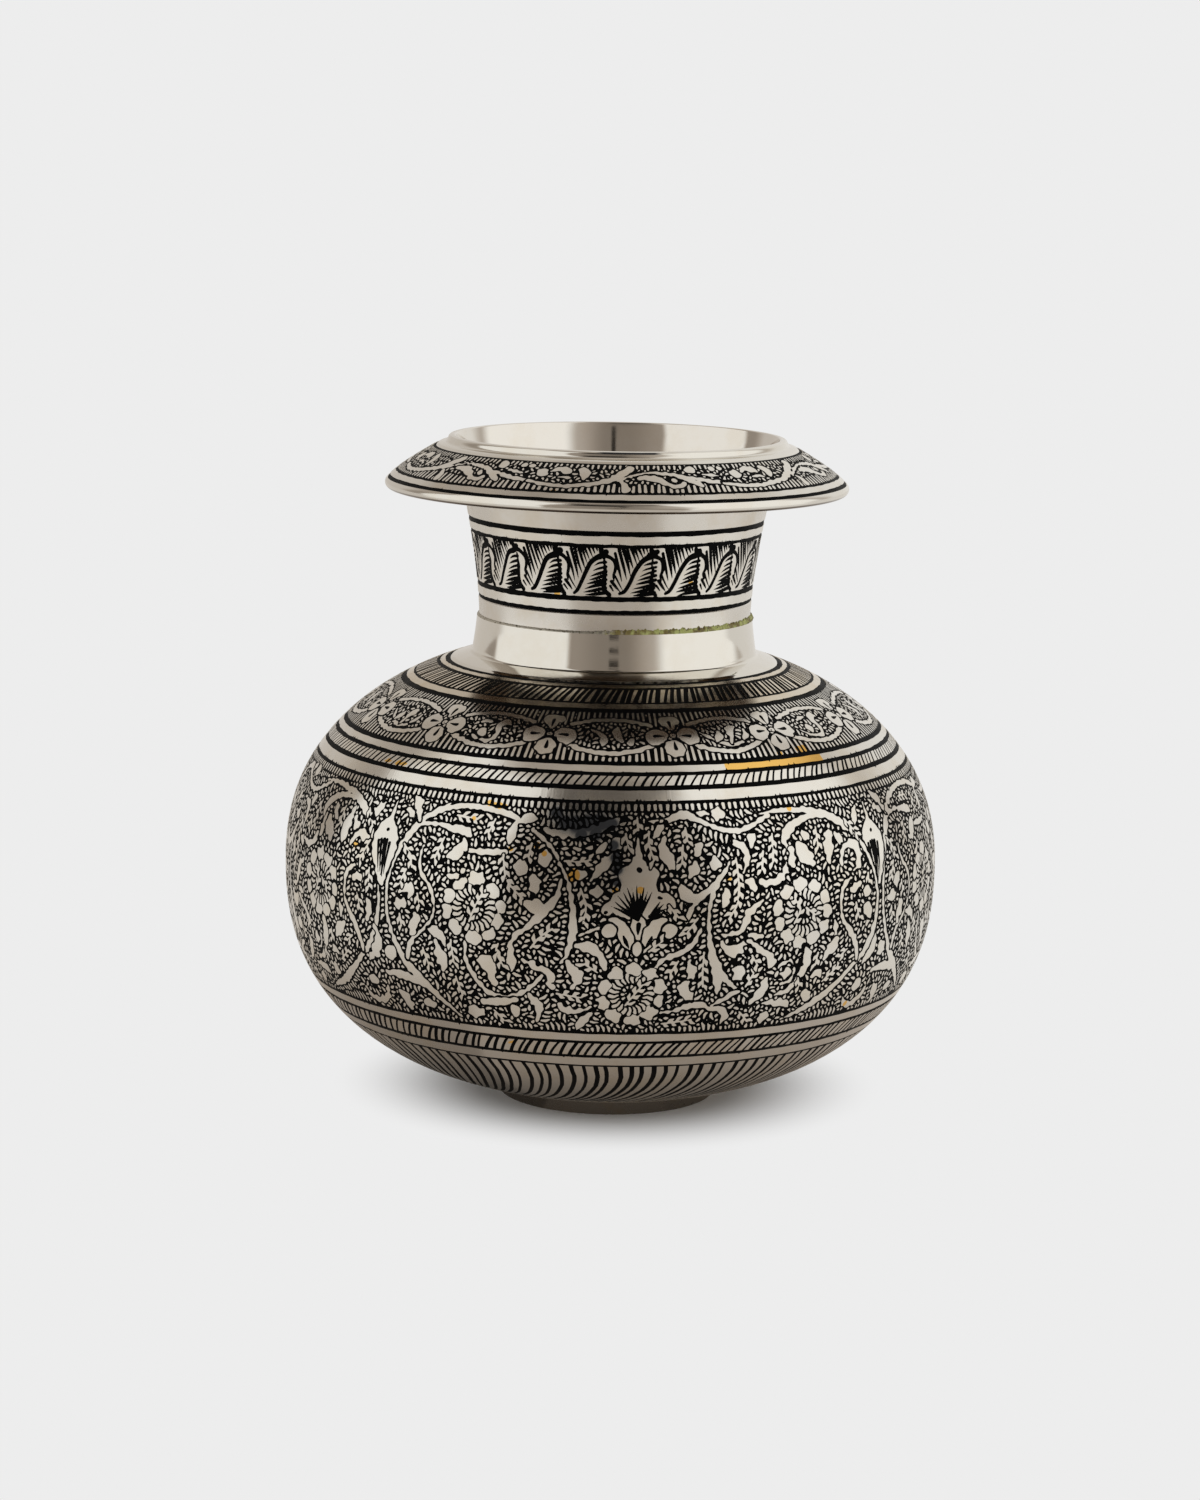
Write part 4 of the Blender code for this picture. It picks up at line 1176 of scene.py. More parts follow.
FERNS = [
    [(-18.2, 29), (-17.3, 25.2), (-14.4, 22.4)], [(-13.4, 31.2), (-13.8, 29)],
    [(-7.6, 28.6), (-5, 28.6), (-3.2, 29)], [(-4.8, 24.4), (-3.8, 21.6), (-4.2, 19)],
    [(-12.9, 14.6), (-11.4, 16.4), (-9.2, 18)], [(-18.4, 15), (-18.9, 13.6), (-17.6, 11.2)],
    [(13, 34.2), (13.2, 32)], [(12.4, 31.4), (12, 28.5)], [(4.6, 35.9), (4.7, 33.8)],
    [(2.6, 33.2), (3.1, 31)], [(6.6, 33.6), (6.5, 31.6), (7.4, 29)],
    [(21.6, 29), (21.8, 25), (21.4, 21.8), (20, 19.4)], [(14.6, 19.8), (12.8, 17.4)],
    [(11.6, 13), (10.4, 11)], [(15.8, 14.2), (15.8, 11), (16, 8.4)], [(23.8, 8), (25.2, 10.6)],
    [(24.4, 13.2), (25.6, 11.4)], [(-23.6, 18), (-22.6, 20.6), (-21.4, 22.6)],
    [(3, 5.4), (4.4, 7.4), (5.8, 9)], [(32.2, 17.8), (33.4, 20), (32.4, 21.6)], [(34.6, 20.2), (36.6, 18.8)],
    [(-36.2, 25.2), (-37.6, 22.4)], [(-33.6, 21.4), (-33.2, 19.4)], [(-37.4, 17.6), (-37, 15.6)],
    [(-32.6, 12.8), (-31.6, 10)], [(-27, 14.6), (-26.6, 11)], [(-29.6, 30.8), (-30.8, 27.4)],
    [(-37.6, 28.9), (-36, 27.4), (-35.2, 25.4)], [(-20.6, 34.6), (-21.4, 32.2)], [(-28, 34.6), (-24, 34.4)],
    [(29, 32.4), (28.4, 28)], [(38.4, 32.8), (38, 29.4)], [(46, 19.6), (47, 17)], [(45.6, 33.4), (48, 30.6)],
    [(-8.6, 7.2), (-4.2, 6.6)], [(-26.4, 8.6), (-25.6, 5.4)], [(-20, 3.2), (-18.4, 1.4)],
    [(9.4, 1.8), (14.6, 2.4)], [(23.4, 3.4), (25.6, 1.2)], [(39.6, 7.2), (42.6, 9.4)],
    [(44.4, 12.2), (42.6, 11)], [(6.6, 14.6), (8.8, 16.4)], [(-1.8, 11), (-3.8, 12.4)],
    [(-45.6, 28.4), (-47.4, 25)], [(-44.8, 24), (-44.6, 21)], [(9.8, 22), (11.4, 20)],
    [(26.8, 29.8), (26.2, 27)], [(34, 8.6), (34.4, 7)], [(37.6, 12.4), (37.4, 10.4)]]

BUD = [
    [(-41.7, 35.4, .1), (-41.8, 33.2, .35), (-41.9, 31.6, .9), (-42, 30.2, 2.2), (-42, 28.8, 2.75),
     (-42, 27.2, 2.5), (-41.9, 25.2, 1.7), (-41.8, 23.4, 1), (-41.7, 22.2, .6)]]
BUD_CUTS = [
    [(-43.6, 28.6, .3), (-42.6, 23.6, .06)], [(-42.9, 28.9, .3), (-42.1, 23.2, .06)],
    [(-42.2, 29, .3), (-41.8, 22.9, .06)], [(-41.5, 28.9, .3), (-41.6, 23, .06)],
    [(-40.8, 28.6, .3), (-41.3, 23.4, .06)], [(-42, 30.6, .3), (-41.9, 30.7, .3)]]

LOTUS = [
    [[(4.65, 32.8, .05), (4.65, 30.9, .35), (4.7, 29.5, .75), (4.8, 28.2, 1.2)],
     [(2.9, 26.8, 1.35), (3.3, 26, 1.5)], [(6.5, 26.7, 1.5), (6.1, 25.9, 1.6)],
     [(4.7, 27.4, 1.6), (4.8, 25.6, 2.6), (4.8, 23.6, 3)],
     [(2.2, 22.2, 2), (4.8, 22.2, 2.6), (7.2, 22.2, 1.8)],
     [(8.2, 23.5, .5), (9.6, 22.8, .9), (10.1, 21.2, .9)], [(.4, 22.2, .6), (-.4, 21.2, .9)]],
    [[(4.8, 19.3, 1), (4.8, 18.4, 1.25), (4.8, 17.1, .6), (4.8, 16.4, .1)]],
    [[(.1, 19.7, .2), (1.2, 19.4, .6), (2.2, 18.1, 1), (3, 16.4, 1), (3.8, 14.9, .3)]],
    [[(9.3, 19.7, .25), (8.1, 19.1, .8), (7, 17.7, 1.05), (6.4, 16.2, 1), (5.6, 14.6, .3)]],
    [[(4.7, 15.9, .3), (4.7, 15, .75), (4.6, 14.2, .35)]], [[(-.1, 17.9, 1.05), (.1, 17.9, 1.05)]],
    [[(9.9, 18, 1.15), (10.1, 17.9, 1.1)]]]
LOTUS_CUTS = [
    [(4.85, 27.5, .42), (4.85, 27.6, .42)], [(4.8, 18.9, .4), (4.8, 18.2, .34), (4.75, 17.1, .05)],
    [(2.4, 17, .15), (2.7, 16.2, .34), (3.3, 15.1, .05)], [(7, 17, .15), (6.6, 16, .34), (5.9, 15, .05)],
    [(-.6, 20.8, .3), (-.4, 20.9, .2)], [(8.1, 23.2, .28), (8.5, 23.1, .2)]]
LOTUS_RAYS = [
    ((4.7, 19.8),
     [(.1, 21.9), (.6, 22.8), (1.3, 23.5), (2.1, 24.3), (2.7, 25.1), (3.6, 24.7), (4.4, 25.4), (5.1, 24.1),
      (5.8, 25.4), (6.3, 24.3), (7.1, 24.3)]),
    ((6.7, 20.2), [(8.4, 22.7), (9, 22.2), (9.3, 21.5), (9.2, 20.7)])]

SOOT_SPOTS = [
    (-9.6, 36.2, 1.7), (-8, 34.8, 1.9), (-6, 34.6, 2.2), (-4, 34.8, 2.2), (-2, 35, 2.2), (0, 34.8, 1.7),
    (-5, 33, 1.5), (-2.5, 33.2, 1.7), (.5, 31.4, 1.2), (1, 29.4, 1.3), (1.2, 27.6, 1.2), (1.1, 25.6, 1)]
BRASS_SPOTS = [
    (-22.3, 37.2, .5), (-21.3, 37, .4), (-20.3, 36.9, .5), (-19.3, 36.8, .4), (-24.7, 34.4, .35),
    (-17, 30.1, .4), (-12.5, 30.9, .5), (-11.1, 29.7, .45), (-6, 26.5, .9), (.9, 24.4, .5), (5, 24.4, .5),
    (20, 25.8, .5), (-49.1, 27.2, .6), (33.8, 36.3, .5), (47.7, 1.8, .5)]


def fern(path, random):
    """Fern: a thin smooth midrib with short curved leaflets on both sides in turn, leaning forward."""
    midrib = smooth([(x, y, 0.14) for x, y in path], 6)
    along = np.diff(midrib[:, :2], axis=0)
    run = np.concatenate(([0.0], np.cumsum(np.hypot(*along.T))))
    parts = [midrib]
    for number, here in enumerate(np.arange(0.3, run[-1] + 0.3, 0.72)):
        x, y = np.interp(here, run, midrib[:, 0]), np.interp(here, run, midrib[:, 1])
        course = np.arctan2(*along[min(np.searchsorted(run, here), len(along)) - 1][::-1])
        side = 1 if number % 2 else -1
        lean = course + side * random.uniform(0.65, 0.95)
        reach = random.uniform(1.1, 1.5)
        middle = (x + 0.55 * reach * np.cos(lean), y + 0.55 * reach * np.sin(lean))
        bend = lean - side * 0.45
        tip = (middle[0] + 0.5 * reach * np.cos(bend), middle[1] + 0.5 * reach * np.sin(bend))
        parts.append(np.array([(x, y, 0.08), (*middle, 0.31), (*tip, 0.08)]))
    return parts


ROSETTE_FRINGES = [
    (22, [(0.72, 0.1, 0.13), (0.95, 0, 0.26), (1.2, 0.08, 0.3)]),
    (12, [(0.28, 0.2, 0.1), (0.42, 0, 0.2), (0.6, 0.1, 0.2)])]
RAY_SHAPE = [(0, 0.31), (0.4, 0.22), (0.7, 0.16), (1, 0.03)]


def garden(plate, start, squeeze, random):
    """One garden: stems, then flowers, leaves and ferns, each clearing the ground round itself."""

    def placed(path):
        """A stroke of the garden in its place."""
        return drawn(plate, path, random, 0.035, start, GARDEN_FROM, squeeze)

    for motif in STEMS:
        lay(plate, [smooth(placed(path)) for path in motif], gap=0.38)
    for (middle, level, core), petals in ROSETTES:
        for x, y, size in petals:
            outward = np.arctan2(y - level, x - middle)
            sideways = np.outer((-0.34, 0.34), (-np.sin(outward), np.cos(outward), 0))
            lay(plate, [placed([(x, y, size)] + sideways) * (1, 1, 0.9)], gap=0.28, uneven=0.13)
        for count, shape in ROSETTE_FRINGES:
            for turn in np.arange(count) * 2 * np.pi / count:
                spoke = []
                for near, skew, half in shape:
                    x, y = near * core * np.sin(turn + skew), near * core * np.cos(turn + skew)
                    spoke.append((middle + x, level + y, half))
                fill(plate, placed(spoke), gap=0.2)
    for path in LEAVES:
        knots = placed(path) * (1, 1, 1.06)
        if len(knots) > 2:
            knots[[0, -1], 2] *= 0.4
        lay(plate, [smooth(knots, 4)], gap=0.38, uneven=0.14)
    lay(plate, [smooth(placed(path)) for path in BUD], gap=0.4)
    cut(plate, [smooth(placed(path), 2) for path in BUD_CUTS])
    for petal in LOTUS:
        lay(plate, [smooth(placed(path)) for path in petal], gap=0.36, uneven=0.05)
    cut(plate, [smooth(placed(path), 2) for path in LOTUS_CUTS])
    for (middle, level), tips in LOTUS_RAYS:
        for x, y in tips:
            ray = [(middle + share * (x - middle), level + share * (y - level), half)
                   for share, half in RAY_SHAPE]
            cut(plate, [placed(ray)])
    for path in FERNS:
        knots = placed([(x, y, 0) for x, y in path])
        lay(plate, fern(knots[:, :2], random), gap=0.26, uneven=0.03, margin=0.5)


def belly_band():
    """The whole band: one garden 94 degrees wide in front, three slightly narrower ones round the back."""
    random = np.random.default_rng(31)
    plate = blank(body, BELLY_FROM, BELLY_TO)
    width = GARDEN_TO - GARDEN_FROM
    rest = (360 - width) / (GARDENS - 1)
    for number in range(GARDENS - 1):
        garden(plate, GARDEN_TO + number * rest - (360 if number == GARDENS - 2 else 0), rest / width, random)
    garden(plate, GARDEN_FROM, 1.0, random)
    for x in np.arange(0, plate["girth"], BORDER_PITCH) - plate["girth"] / 2:
        x += random.uniform(-0.08, 0.08)
        lean = random.uniform(-0.12, 0.12)
        fill(plate, np.array([(x, plate["height"] - 1.0, 0.24), (x + lean, plate["height"] - 0.3, 0.3)]))
    hatch(plate, random)
    return plate


belly_plate = plated("plate_belly")
belly = belly_band()
for sector in range(6):
    raise_metal(belly, "belly_pattern_%d" % (sector + 1), belly_plate,
                sector / 6, (sector + 1) / 6, BRASS_SPOTS, SOOT_SPOTS)

# Shoulder bands: a rope, thirteen flowers linked by pointed ovals with leaves inside, and a smaller rope,
# with silver rings between. The plate has worn through to the brass along one stretch of the second ring.

SHOULDER_DATUM = 57.5 * MM
UPPER_ROPE = 228
SMALL_ROPE = 173
FLOWERS_FROM = 9.05
FLOWERS_TO = 20.3
LOWER_ARC = (3.5, 1.75)
UPPER_ARC = (7.9, 9.25)
OVAL_INSET = 4.6
COMB_PITCH = 1.36
RING_WEAR = (23, 47.5)
UPPER_ROPE_WEAR = [(-49.5, 5.2, 0.45), (-46.2, 5.2, 0.5), (-44.6, 5.2, 0.5), (46, 4.9, 0.4)]
FLOWER_WEAR = [(37.1, 0.5, 0.5), (42.8, 0.7, 0.7), (44.2, 0.7, 0.7), (30.6, 3, 0.3)]
FLOWER_TURNS = [-42, -14.3, 13.6, 39] + [39 + 27.9 * step for step in range(1, 10)]

PETALS = [
    [(0, 7.2, .4), (0, 8.2, 1.1), (-1.5, 9, .85), (-.4, 9.1, 1), (1.5, 9, .85)],
    [(-1.3, 5.5, .35), (-2.9, 5.5, 1.3), (-3.8, 5.3, 1.7), (-4, 5.2, 1.7)],
    [(1.3, 5.5, .35), (2.9, 5.5, 1.3), (3.8, 5.4, 1.7), (4, 5.3, 1.7)],
    [(0, 4.1, .35), (0, 3.3, 1.1), (-.1, 2.8, 1.65), (0, 2.6, 1.6)]]
PETAL_CUTS = [
    [(0, 8.7, .36), (0, 8.1, .28), (.05, 7, .06)], [(-4, 5.4, .36), (-3.2, 5.45, .28), (-1.8, 5.5, .06)],
    [(4, 5.4, .36), (3.2, 5.45, .28), (1.8, 5.5, .06)], [(.1, 2.7, .36), (.1, 3.4, .28), (.05, 4.3, .06)]]
SPRAYS = [
    [[(-6.2, 6.2, .12), (-3.8, 4.6, .28), (-1, 3.3, .35), (2, 3.2, .3), (5.2, 4.4, .2)],
     [(-2.6, 4.2, .25), (-1.8, 5, .7), (-1.5, 5.9, .25)],
     [(.6, 3.5, .2), (1.2, 4.8, .35), (1.5, 6.2, .75), (2.9, 6.9, .3)],
     [(4, 4.1, .2), (5, 5, .45), (5.2, 6.2, .12)]],
    [[(-5.6, 4.6, .12), (-3, 3.2, .25), (.4, 3, .35), (1.6, 4.6, .4), (1.2, 6.2, .6), (2.4, 7.3, .7),
      (3.8, 6.9, .2)],
     [(-2.4, 4.9, .75), (-2.1, 4.5, .75)], [(-3.9, 6.8, .2), (-2.4, 7.1, .35), (-.6, 7.2, .2)]],
    [[(-4.8, 7, .15), (-2.8, 6, .35), (-1.4, 4.6, .65), (-1.8, 3.4, .3)],
     [(1.6, 7.4, .3), (1.2, 6, .8), (2.4, 4.4, .4)], [(4.2, 3.9, .6), (4.5, 4.3, .6)]]]


def arc_rise(share, low, high):
    """Rise of an oval's arc at a share of its width: a parabola from the low ends to the high middle."""
    return low + (high - low) * 4 * share * (1 - share)


def flower_band(random):
    """Arcs of the ovals with leaves inside, flowers, combed strokes outside the arcs, and hatching."""
    plate = band_blank(body, SHOULDER_DATUM, FLOWERS_FROM, FLOWERS_TO)

    def placed(path, turn, drift=0.04):
        """A stroke of a motif at its turn round the pot."""
        return drawn(plate, path, random, drift, turn)

    order = sorted((turn + 180) % 360 - 180 for turn in FLOWER_TURNS)
    gaps = np.diff(order + [order[0] + 360])
    for number, (turn, gap) in enumerate(zip(order, gaps)):
        middle, reach = turn + gap / 2, gap / 2 - OVAL_INSET
        share = np.linspace(0, 1, 13)
        for arc, wide in ((LOWER_ARC, 0.42), (UPPER_ARC, 0.38)):
            along = middle + (2 * share - 1) * reach
            knots = np.column_stack((along, arc_rise(share, *arc), np.full(13, wide)))
            lay(plate, [placed(knots, 0, 0.03)], gap=0.38)
        for path in SPRAYS[number % 3]:
            lay(plate, [smooth(placed(path, middle))], gap=0.34)
    for turn in order:
        for path in PETALS:
            lay(plate, [smooth(placed(path, turn))], gap=0.4)
        cut(plate, [smooth(placed(path, turn), 3) for path in PETAL_CUTS])
        lay(plate, [placed([(-.12, 5.5, .42), (.12, 5.55, .42)], turn)], gap=0.34)
        cut(plate, [placed([(-.05, 5.5, .12), (.05, 5.5, .12)], turn)])
    for x in np.arange(-180, 180, COMB_PITCH):
        here = x + random.uniform(-0.12, 0.12)
        offsets = (here - np.array(order) - gaps / 2 + 180) % 360 - 180
        nearest = np.argmin(np.abs(offsets))
        share = np.clip(0.5 + offsets[nearest] / (gaps[nearest] - 2 * OVAL_INSET), 0, 1)
        lean = random.uniform(-0.1, 0.3)
        low, high = arc_rise(share, *LOWER_ARC), arc_rise(share, *UPPER_ARC)
        fill(plate, placed([(here, 0.35, 0.24), (here + lean, low, 0.2)], 0, 0.02))
        fill(plate, placed([(here, high, 0.19), (here + lean, plate["height"] - 0.35, 0.22)], 0, 0.02))
    hatch(plate, random, pitch=0.82, length=1.05, width=0.5, row_gap=0.22)
    return plate


bands = np.random.default_rng(45)
ring_row("ring_over_belly", body, SHOULDER_DATUM, 1.98, 3.8, belly_plate, bands, (240, 8))
rope_row("upper_rope", SHOULDER_DATUM, 4.65, 6.4, UPPER_ROPE, 1.3, 0.44, belly_plate, bands,
         UPPER_ROPE_WEAR)
ring_row("ring_under_flowers", body, SHOULDER_DATUM, 7.15, 8.35, belly_plate, bands,
         (70, 6), RING_WEAR)
flowers = flower_band(bands)
for half in range(2):
    raise_metal(flowers, "flower_pattern_%d" % (half + 1), belly_plate,
                half / 2, (half + 1) / 2, FLOWER_WEAR)
corner_plate = plated("plate_corner", colour=(0.68, 0.61, 0.50), turning=0.6, staining=0.6, polish=0.14)
ring_row("ring_over_flowers", body, SHOULDER_DATUM, 21.2, 22.5, corner_plate, bands,
         (30, 6))
rope_row("small_rope", SHOULDER_DATUM, 22.95, 26.75, SMALL_ROPE, 2.0, 0.7, corner_plate,
         bands)
ring_row("ring_under_collar", body, SHOULDER_DATUM, 27.4, 28.25, corner_plate, bands,
         (110, 4))

# Neck: a flared tube seated in the collar, bright in the bore and duller outside, with a thin edge that shows
# at the mouth. Its outer side is turned back for the engraved leaves as the bowl is.

NECK_SEAT = COLLAR_TOP + FIT_GAP
MOUTH_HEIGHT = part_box("neck_tube")[1].z
NECK_HEIGHT = MOUTH_HEIGHT - NECK_SEAT
NECK_RADIUS = COLLAR_RADIUS - 0.7 * MM
NECK_FLARE = 5.0 * MM
NECK_FLARE_POWER = 1.5
LIP_WALL = 0.8 * MM
LIP_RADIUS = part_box("neck_tube")[1].x
SPIGOT_WALL = 0.9 * MM
SPIGOT_LENGTH = NECK_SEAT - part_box("neck_tube")[0].z
NECK_CUT_FROM = 84.95 * MM
NECK_CUT_TO = 98.6 * MM


def flared(foot, flare):
    """Radius = foot + flare x (share of the height)^1.5, from the seat to the mouth."""
    share = np.linspace(0, 1, 121)
    return np.column_stack((foot + flare * share ** NECK_FLARE_POWER, NECK_SEAT + NECK_HEIGHT * share))


neck = measure(flared(NECK_RADIUS, NECK_FLARE))


def neck_profile():
    """Neck down its outer side, over the spigot's end and up the bore to the rounded lip."""
    zone = (neck["point"][:, 1] > NECK_CUT_FROM) & (neck["point"][:, 1] < NECK_CUT_TO)
    outer = (neck["point"] - neck["facing"] * zone[:, None] * GROUND_DEPTH)[::-1]
    spigot = COLLAR_RADIUS - BODY_WALL - FIT_GAP
    bore = spigot - SPIGOT_WALL
    low = NECK_SEAT - SPIGOT_LENGTH
    foot = np.array([(spigot, NECK_SEAT), (spigot, low), (bore, low)])
    inner = flared(bore, NECK_RADIUS + NECK_FLARE - LIP_WALL - bore)[::4]
    turns = np.linspace(np.pi, 0, 9)
    lip = LIP_WALL / 2 * np.column_stack((np.cos(turns), 0.5 * np.sin(turns)))
    lip_foot = MOUTH_HEIGHT - LIP_WALL / 4
    lip += (NECK_RADIUS + NECK_FLARE - LIP_WALL / 2, lip_foot)
    return np.vstack((outer[outer[:, 1] < lip_foot], foot, inner[inner[:, 1] < lip_foot], lip))


bore_plate = plated(
    "plate_bore", colour=(0.77, 0.74, 0.69), turning=0.4, rubbing=0.2, staining=0.2, polish=0.05)
neck_plate = plated(
    "plate_neck", colour=(0.71, 0.68, 0.63), turning=1.6, rubbing=0.5, staining=0.4, polish=0.26)
neck_shell = turned("neck_shell", neck_profile(), bore_plate)
neck_shell.data.materials.append(neck_plate)
middle, facing = np.empty((2, len(neck_shell.data.polygons) * 3))
neck_shell.data.polygons.foreach_get("center", middle)
neck_shell.data.polygons.foreach_get("normal", facing)
middle, facing = middle.reshape(-1, 3), facing.reshape(-1, 3)
outside = ((middle * facing)[:, :2].sum(axis=1) > 0) & (middle[:, 2] < MOUTH_HEIGHT - 1.0 * MM)
neck_shell.data.polygons.foreach_set("material_index", outside.astype(np.int32))
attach(neck_shell, "root")
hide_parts("neck_tube")

# Neck band: nineteen leaning leaves cut with tapered strokes, fanned above the midrib and combed below it,
# each ending in a smooth curled lobe. A silver ring and a thin black line close it above and below.

NECK_DATUM = 84.0 * MM
NECK_LEAVES = 19
NECK_BAND_FROM = 3.85
NECK_BAND_TO = 12.1
LEAF_WEAR = [(-24, 0.2, 0.5), (-4, 7.6, 0.35), (31.5, 2.2, 0.4), (-26, 8.8, 0.3)]

LEAF_CUTS = [
    [(-.2, 4.4, .2), (1.6, 4.9, .26), (3.4, 6.3, .27), (5.3, 8, .3), (7.2, 9.5, .32), (9.2, 10.3, .36),
     (11.6, 10.7, .42), (13.4, 11.2, .25)],
    [(11.2, 11.8, .35), (12.2, 11.2, .5), (13.4, 11.4, .4)],
    [(-4.3, 4.2, .3), (-5.8, 5, .27), (-6.3, 6, .25), (-6.3, 7.2, .25), (-5.9, 8.2, .25), (-6.4, 9.2, .14),
     (-6.3, 10.2, .15)],
    [(-7.5, 10.9, .4), (-5.2, 10.7, .32), (-3.2, 10.1, .27), (-2.1, 9.2, .25), (-2.2, 8.2, .24),
     (-2.8, 7.4, .2), (-2.4, 6.6, .1)],
    [(-3.3, 6.5, .24), (-1.8, 5.6, .2), (-.6, 4.9, .06)], [(-4, 5.7, .17), (-2.8, 4.9, .08)],
    [(-2.2, 7.4, .16), (-.6, 6.1, .12), (.8, 5.1, .04)],
    [(-2.4, 11.2, .22), (-.8, 8.6, .22), (.6, 6.3, .03)], [(-.9, 11.9, .25), (.9, 9, .22), (2.2, 6.8, .03)],
    [(.5, 12.3, .24), (2.3, 9.5, .2), (3.6, 7.5, .03)], [(2, 12.3, .24), (3.6, 10, .2), (4.9, 8.5, .03)],
    [(3.4, 12.3, .26), (5.9, 9.3, .04)], [(4.8, 12.3, .24), (6.8, 10, .05)],
    [(6.3, 12.3, .24), (7.9, 10.6, .05)], [(7.8, 12.3, .24), (8.9, 11.1, .06)],
    [(9.3, 12.3, .2), (9.9, 11.4, .06)], [(13.4, 9.7, .2), (10.6, 9.5, .16), (8.6, 9.1, .03)],
    [(13.4, 8.9, .22), (10, 8.6, .16), (7.9, 8.2, .03)], [(13.4, 8.2, .2), (10, 7.8, .17), (7, 7.3, .03)],
    [(13.4, 7.5, .22), (9.4, 7, .18), (6.3, 6.6, .03)], [(13.3, 6.8, .22), (9, 6.3, .2), (5.4, 5.9, .03)],
    [(13.2, 6.1, .24), (8.4, 5.6, .2), (4.6, 5.2, .03)], [(13.2, 5.4, .26), (8, 4.9, .22), (3.8, 4.6, .03)],
    [(13.2, 4.6, .3), (9, 4.3, .26), (5, 4.1, .05)]]


def leaf_band(random):
    """Full ring of metal in which every leaf's strokes are cut, each leaf with its own small differences."""
    plate = band_blank(neck, NECK_DATUM, NECK_BAND_FROM, NECK_BAND_TO, 0.14)
    plate["metal"][:] = 9.0
    for number in range(NECK_LEAVES):
        turn = (2.0 + number * 360 / NECK_LEAVES + random.uniform(-0.4, 0.4) + 180) % 360 - 180
        size = random.uniform(0.94, 1.06)
        paths = []
        for path in LEAF_CUTS:
            knots = drawn(plate, path, random, 0.05, turn, squeeze=size, drop=NECK_BAND_FROM)
            knots[:, 2] *= random.uniform(1.05, 1.4)
            paths.append(smooth(knots, 4))
        cut(plate, paths)
    return plate


bands = np.random.default_rng(7)
neck_silver = plated("plate_neck_band", turning=1.2, staining=0.35, polish=0.24)
ring_row("ring_under_leaves", neck, NECK_DATUM, 1.6, 3.05, neck_silver, bands, (8, 8))
raise_metal(leaf_band(bands), "leaf_pattern", neck_silver, 0, 1, LEAF_WEAR)
ring_row("ring_over_leaves", neck, NECK_DATUM, 12.65, 13.95, neck_silver, bands, (60, 2))
lac_filling("lac_in_neck", neck, NECK_CUT_FROM, NECK_CUT_TO, 14, "neck_metal")

# Solder: run into the corner where the neck stands in the collar, and a fillet in the corner under the
# flange. Most of it was wiped flush and has gone grey; along the front it stands up as a lumpy crust of green
# tarnish.

BEAD_LOW = COLLAR_TOP - 0.02 * MM
BEAD_HEIGHT = 0.36 * MM
BEAD_WIDTH = 0.36 * MM
BEAD_SECTIONS = 1200
BEAD_CREASE = 50
CRUST_FROM, CRUST_TO = -0.2, 1.9
SOLDER_GREY = (0.52, 0.485, 0.41)
SOLDER_DIRT = (0.07, 0.05, 0.025)
OLIVE_TARNISH = (0.17, 0.13, 0.035)
GREEN_TARNISH = (0.40, 0.42, 0.14)


def tarnished_solder():
    """Soft solder: dull grey metal with brown dirt in its pits. Where the attribute "crust" is set it is
    covered by green and yellow tarnish that isn't metal."""
    material = bpy.data.materials.new("tarnished_solder")
    tree = clear_tree(material)
    where = add_node(tree, "TexCoord").outputs["Object"]
    patches = noise(tree, where, 700.0, 4.0)
    pits = noise(tree, where, 2200.0, 2.0)
    crust = add_node(tree, "Attribute", attribute_name="crust").outputs["Fac"]
    tarnish = fade(tree, roughened(tree, crust, patches, 1.2), 0.25, 0.6)
    green = mix_colours(tree, fade(tree, patches, 0.42, 0.62), OLIVE_TARNISH, GREEN_TARNISH)
    colour = mix_colours(tree, tarnish, SOLDER_GREY, green)
    colour = mix_colours(tree, fade(tree, pits, 0.56, 0.68), colour, SOLDER_DIRT)
    rough = plus(tree, 0.36, patches, 0.3)
    metal = plus(tree, 1.0, tarnish, -0.8)
    bump = add_node(tree, "Bump", {"Height": pits, "Distance": 5e-5, "Strength": 0.8})
    shader = add_node(tree, "BsdfPrincipled", {
        "Base Color": colour, "Roughness": rough, "Metallic": metal, "Normal": bump.outputs[0]})
    add_node(tree, "OutputMaterial", {"Surface": shader.outputs[0]})
    return material


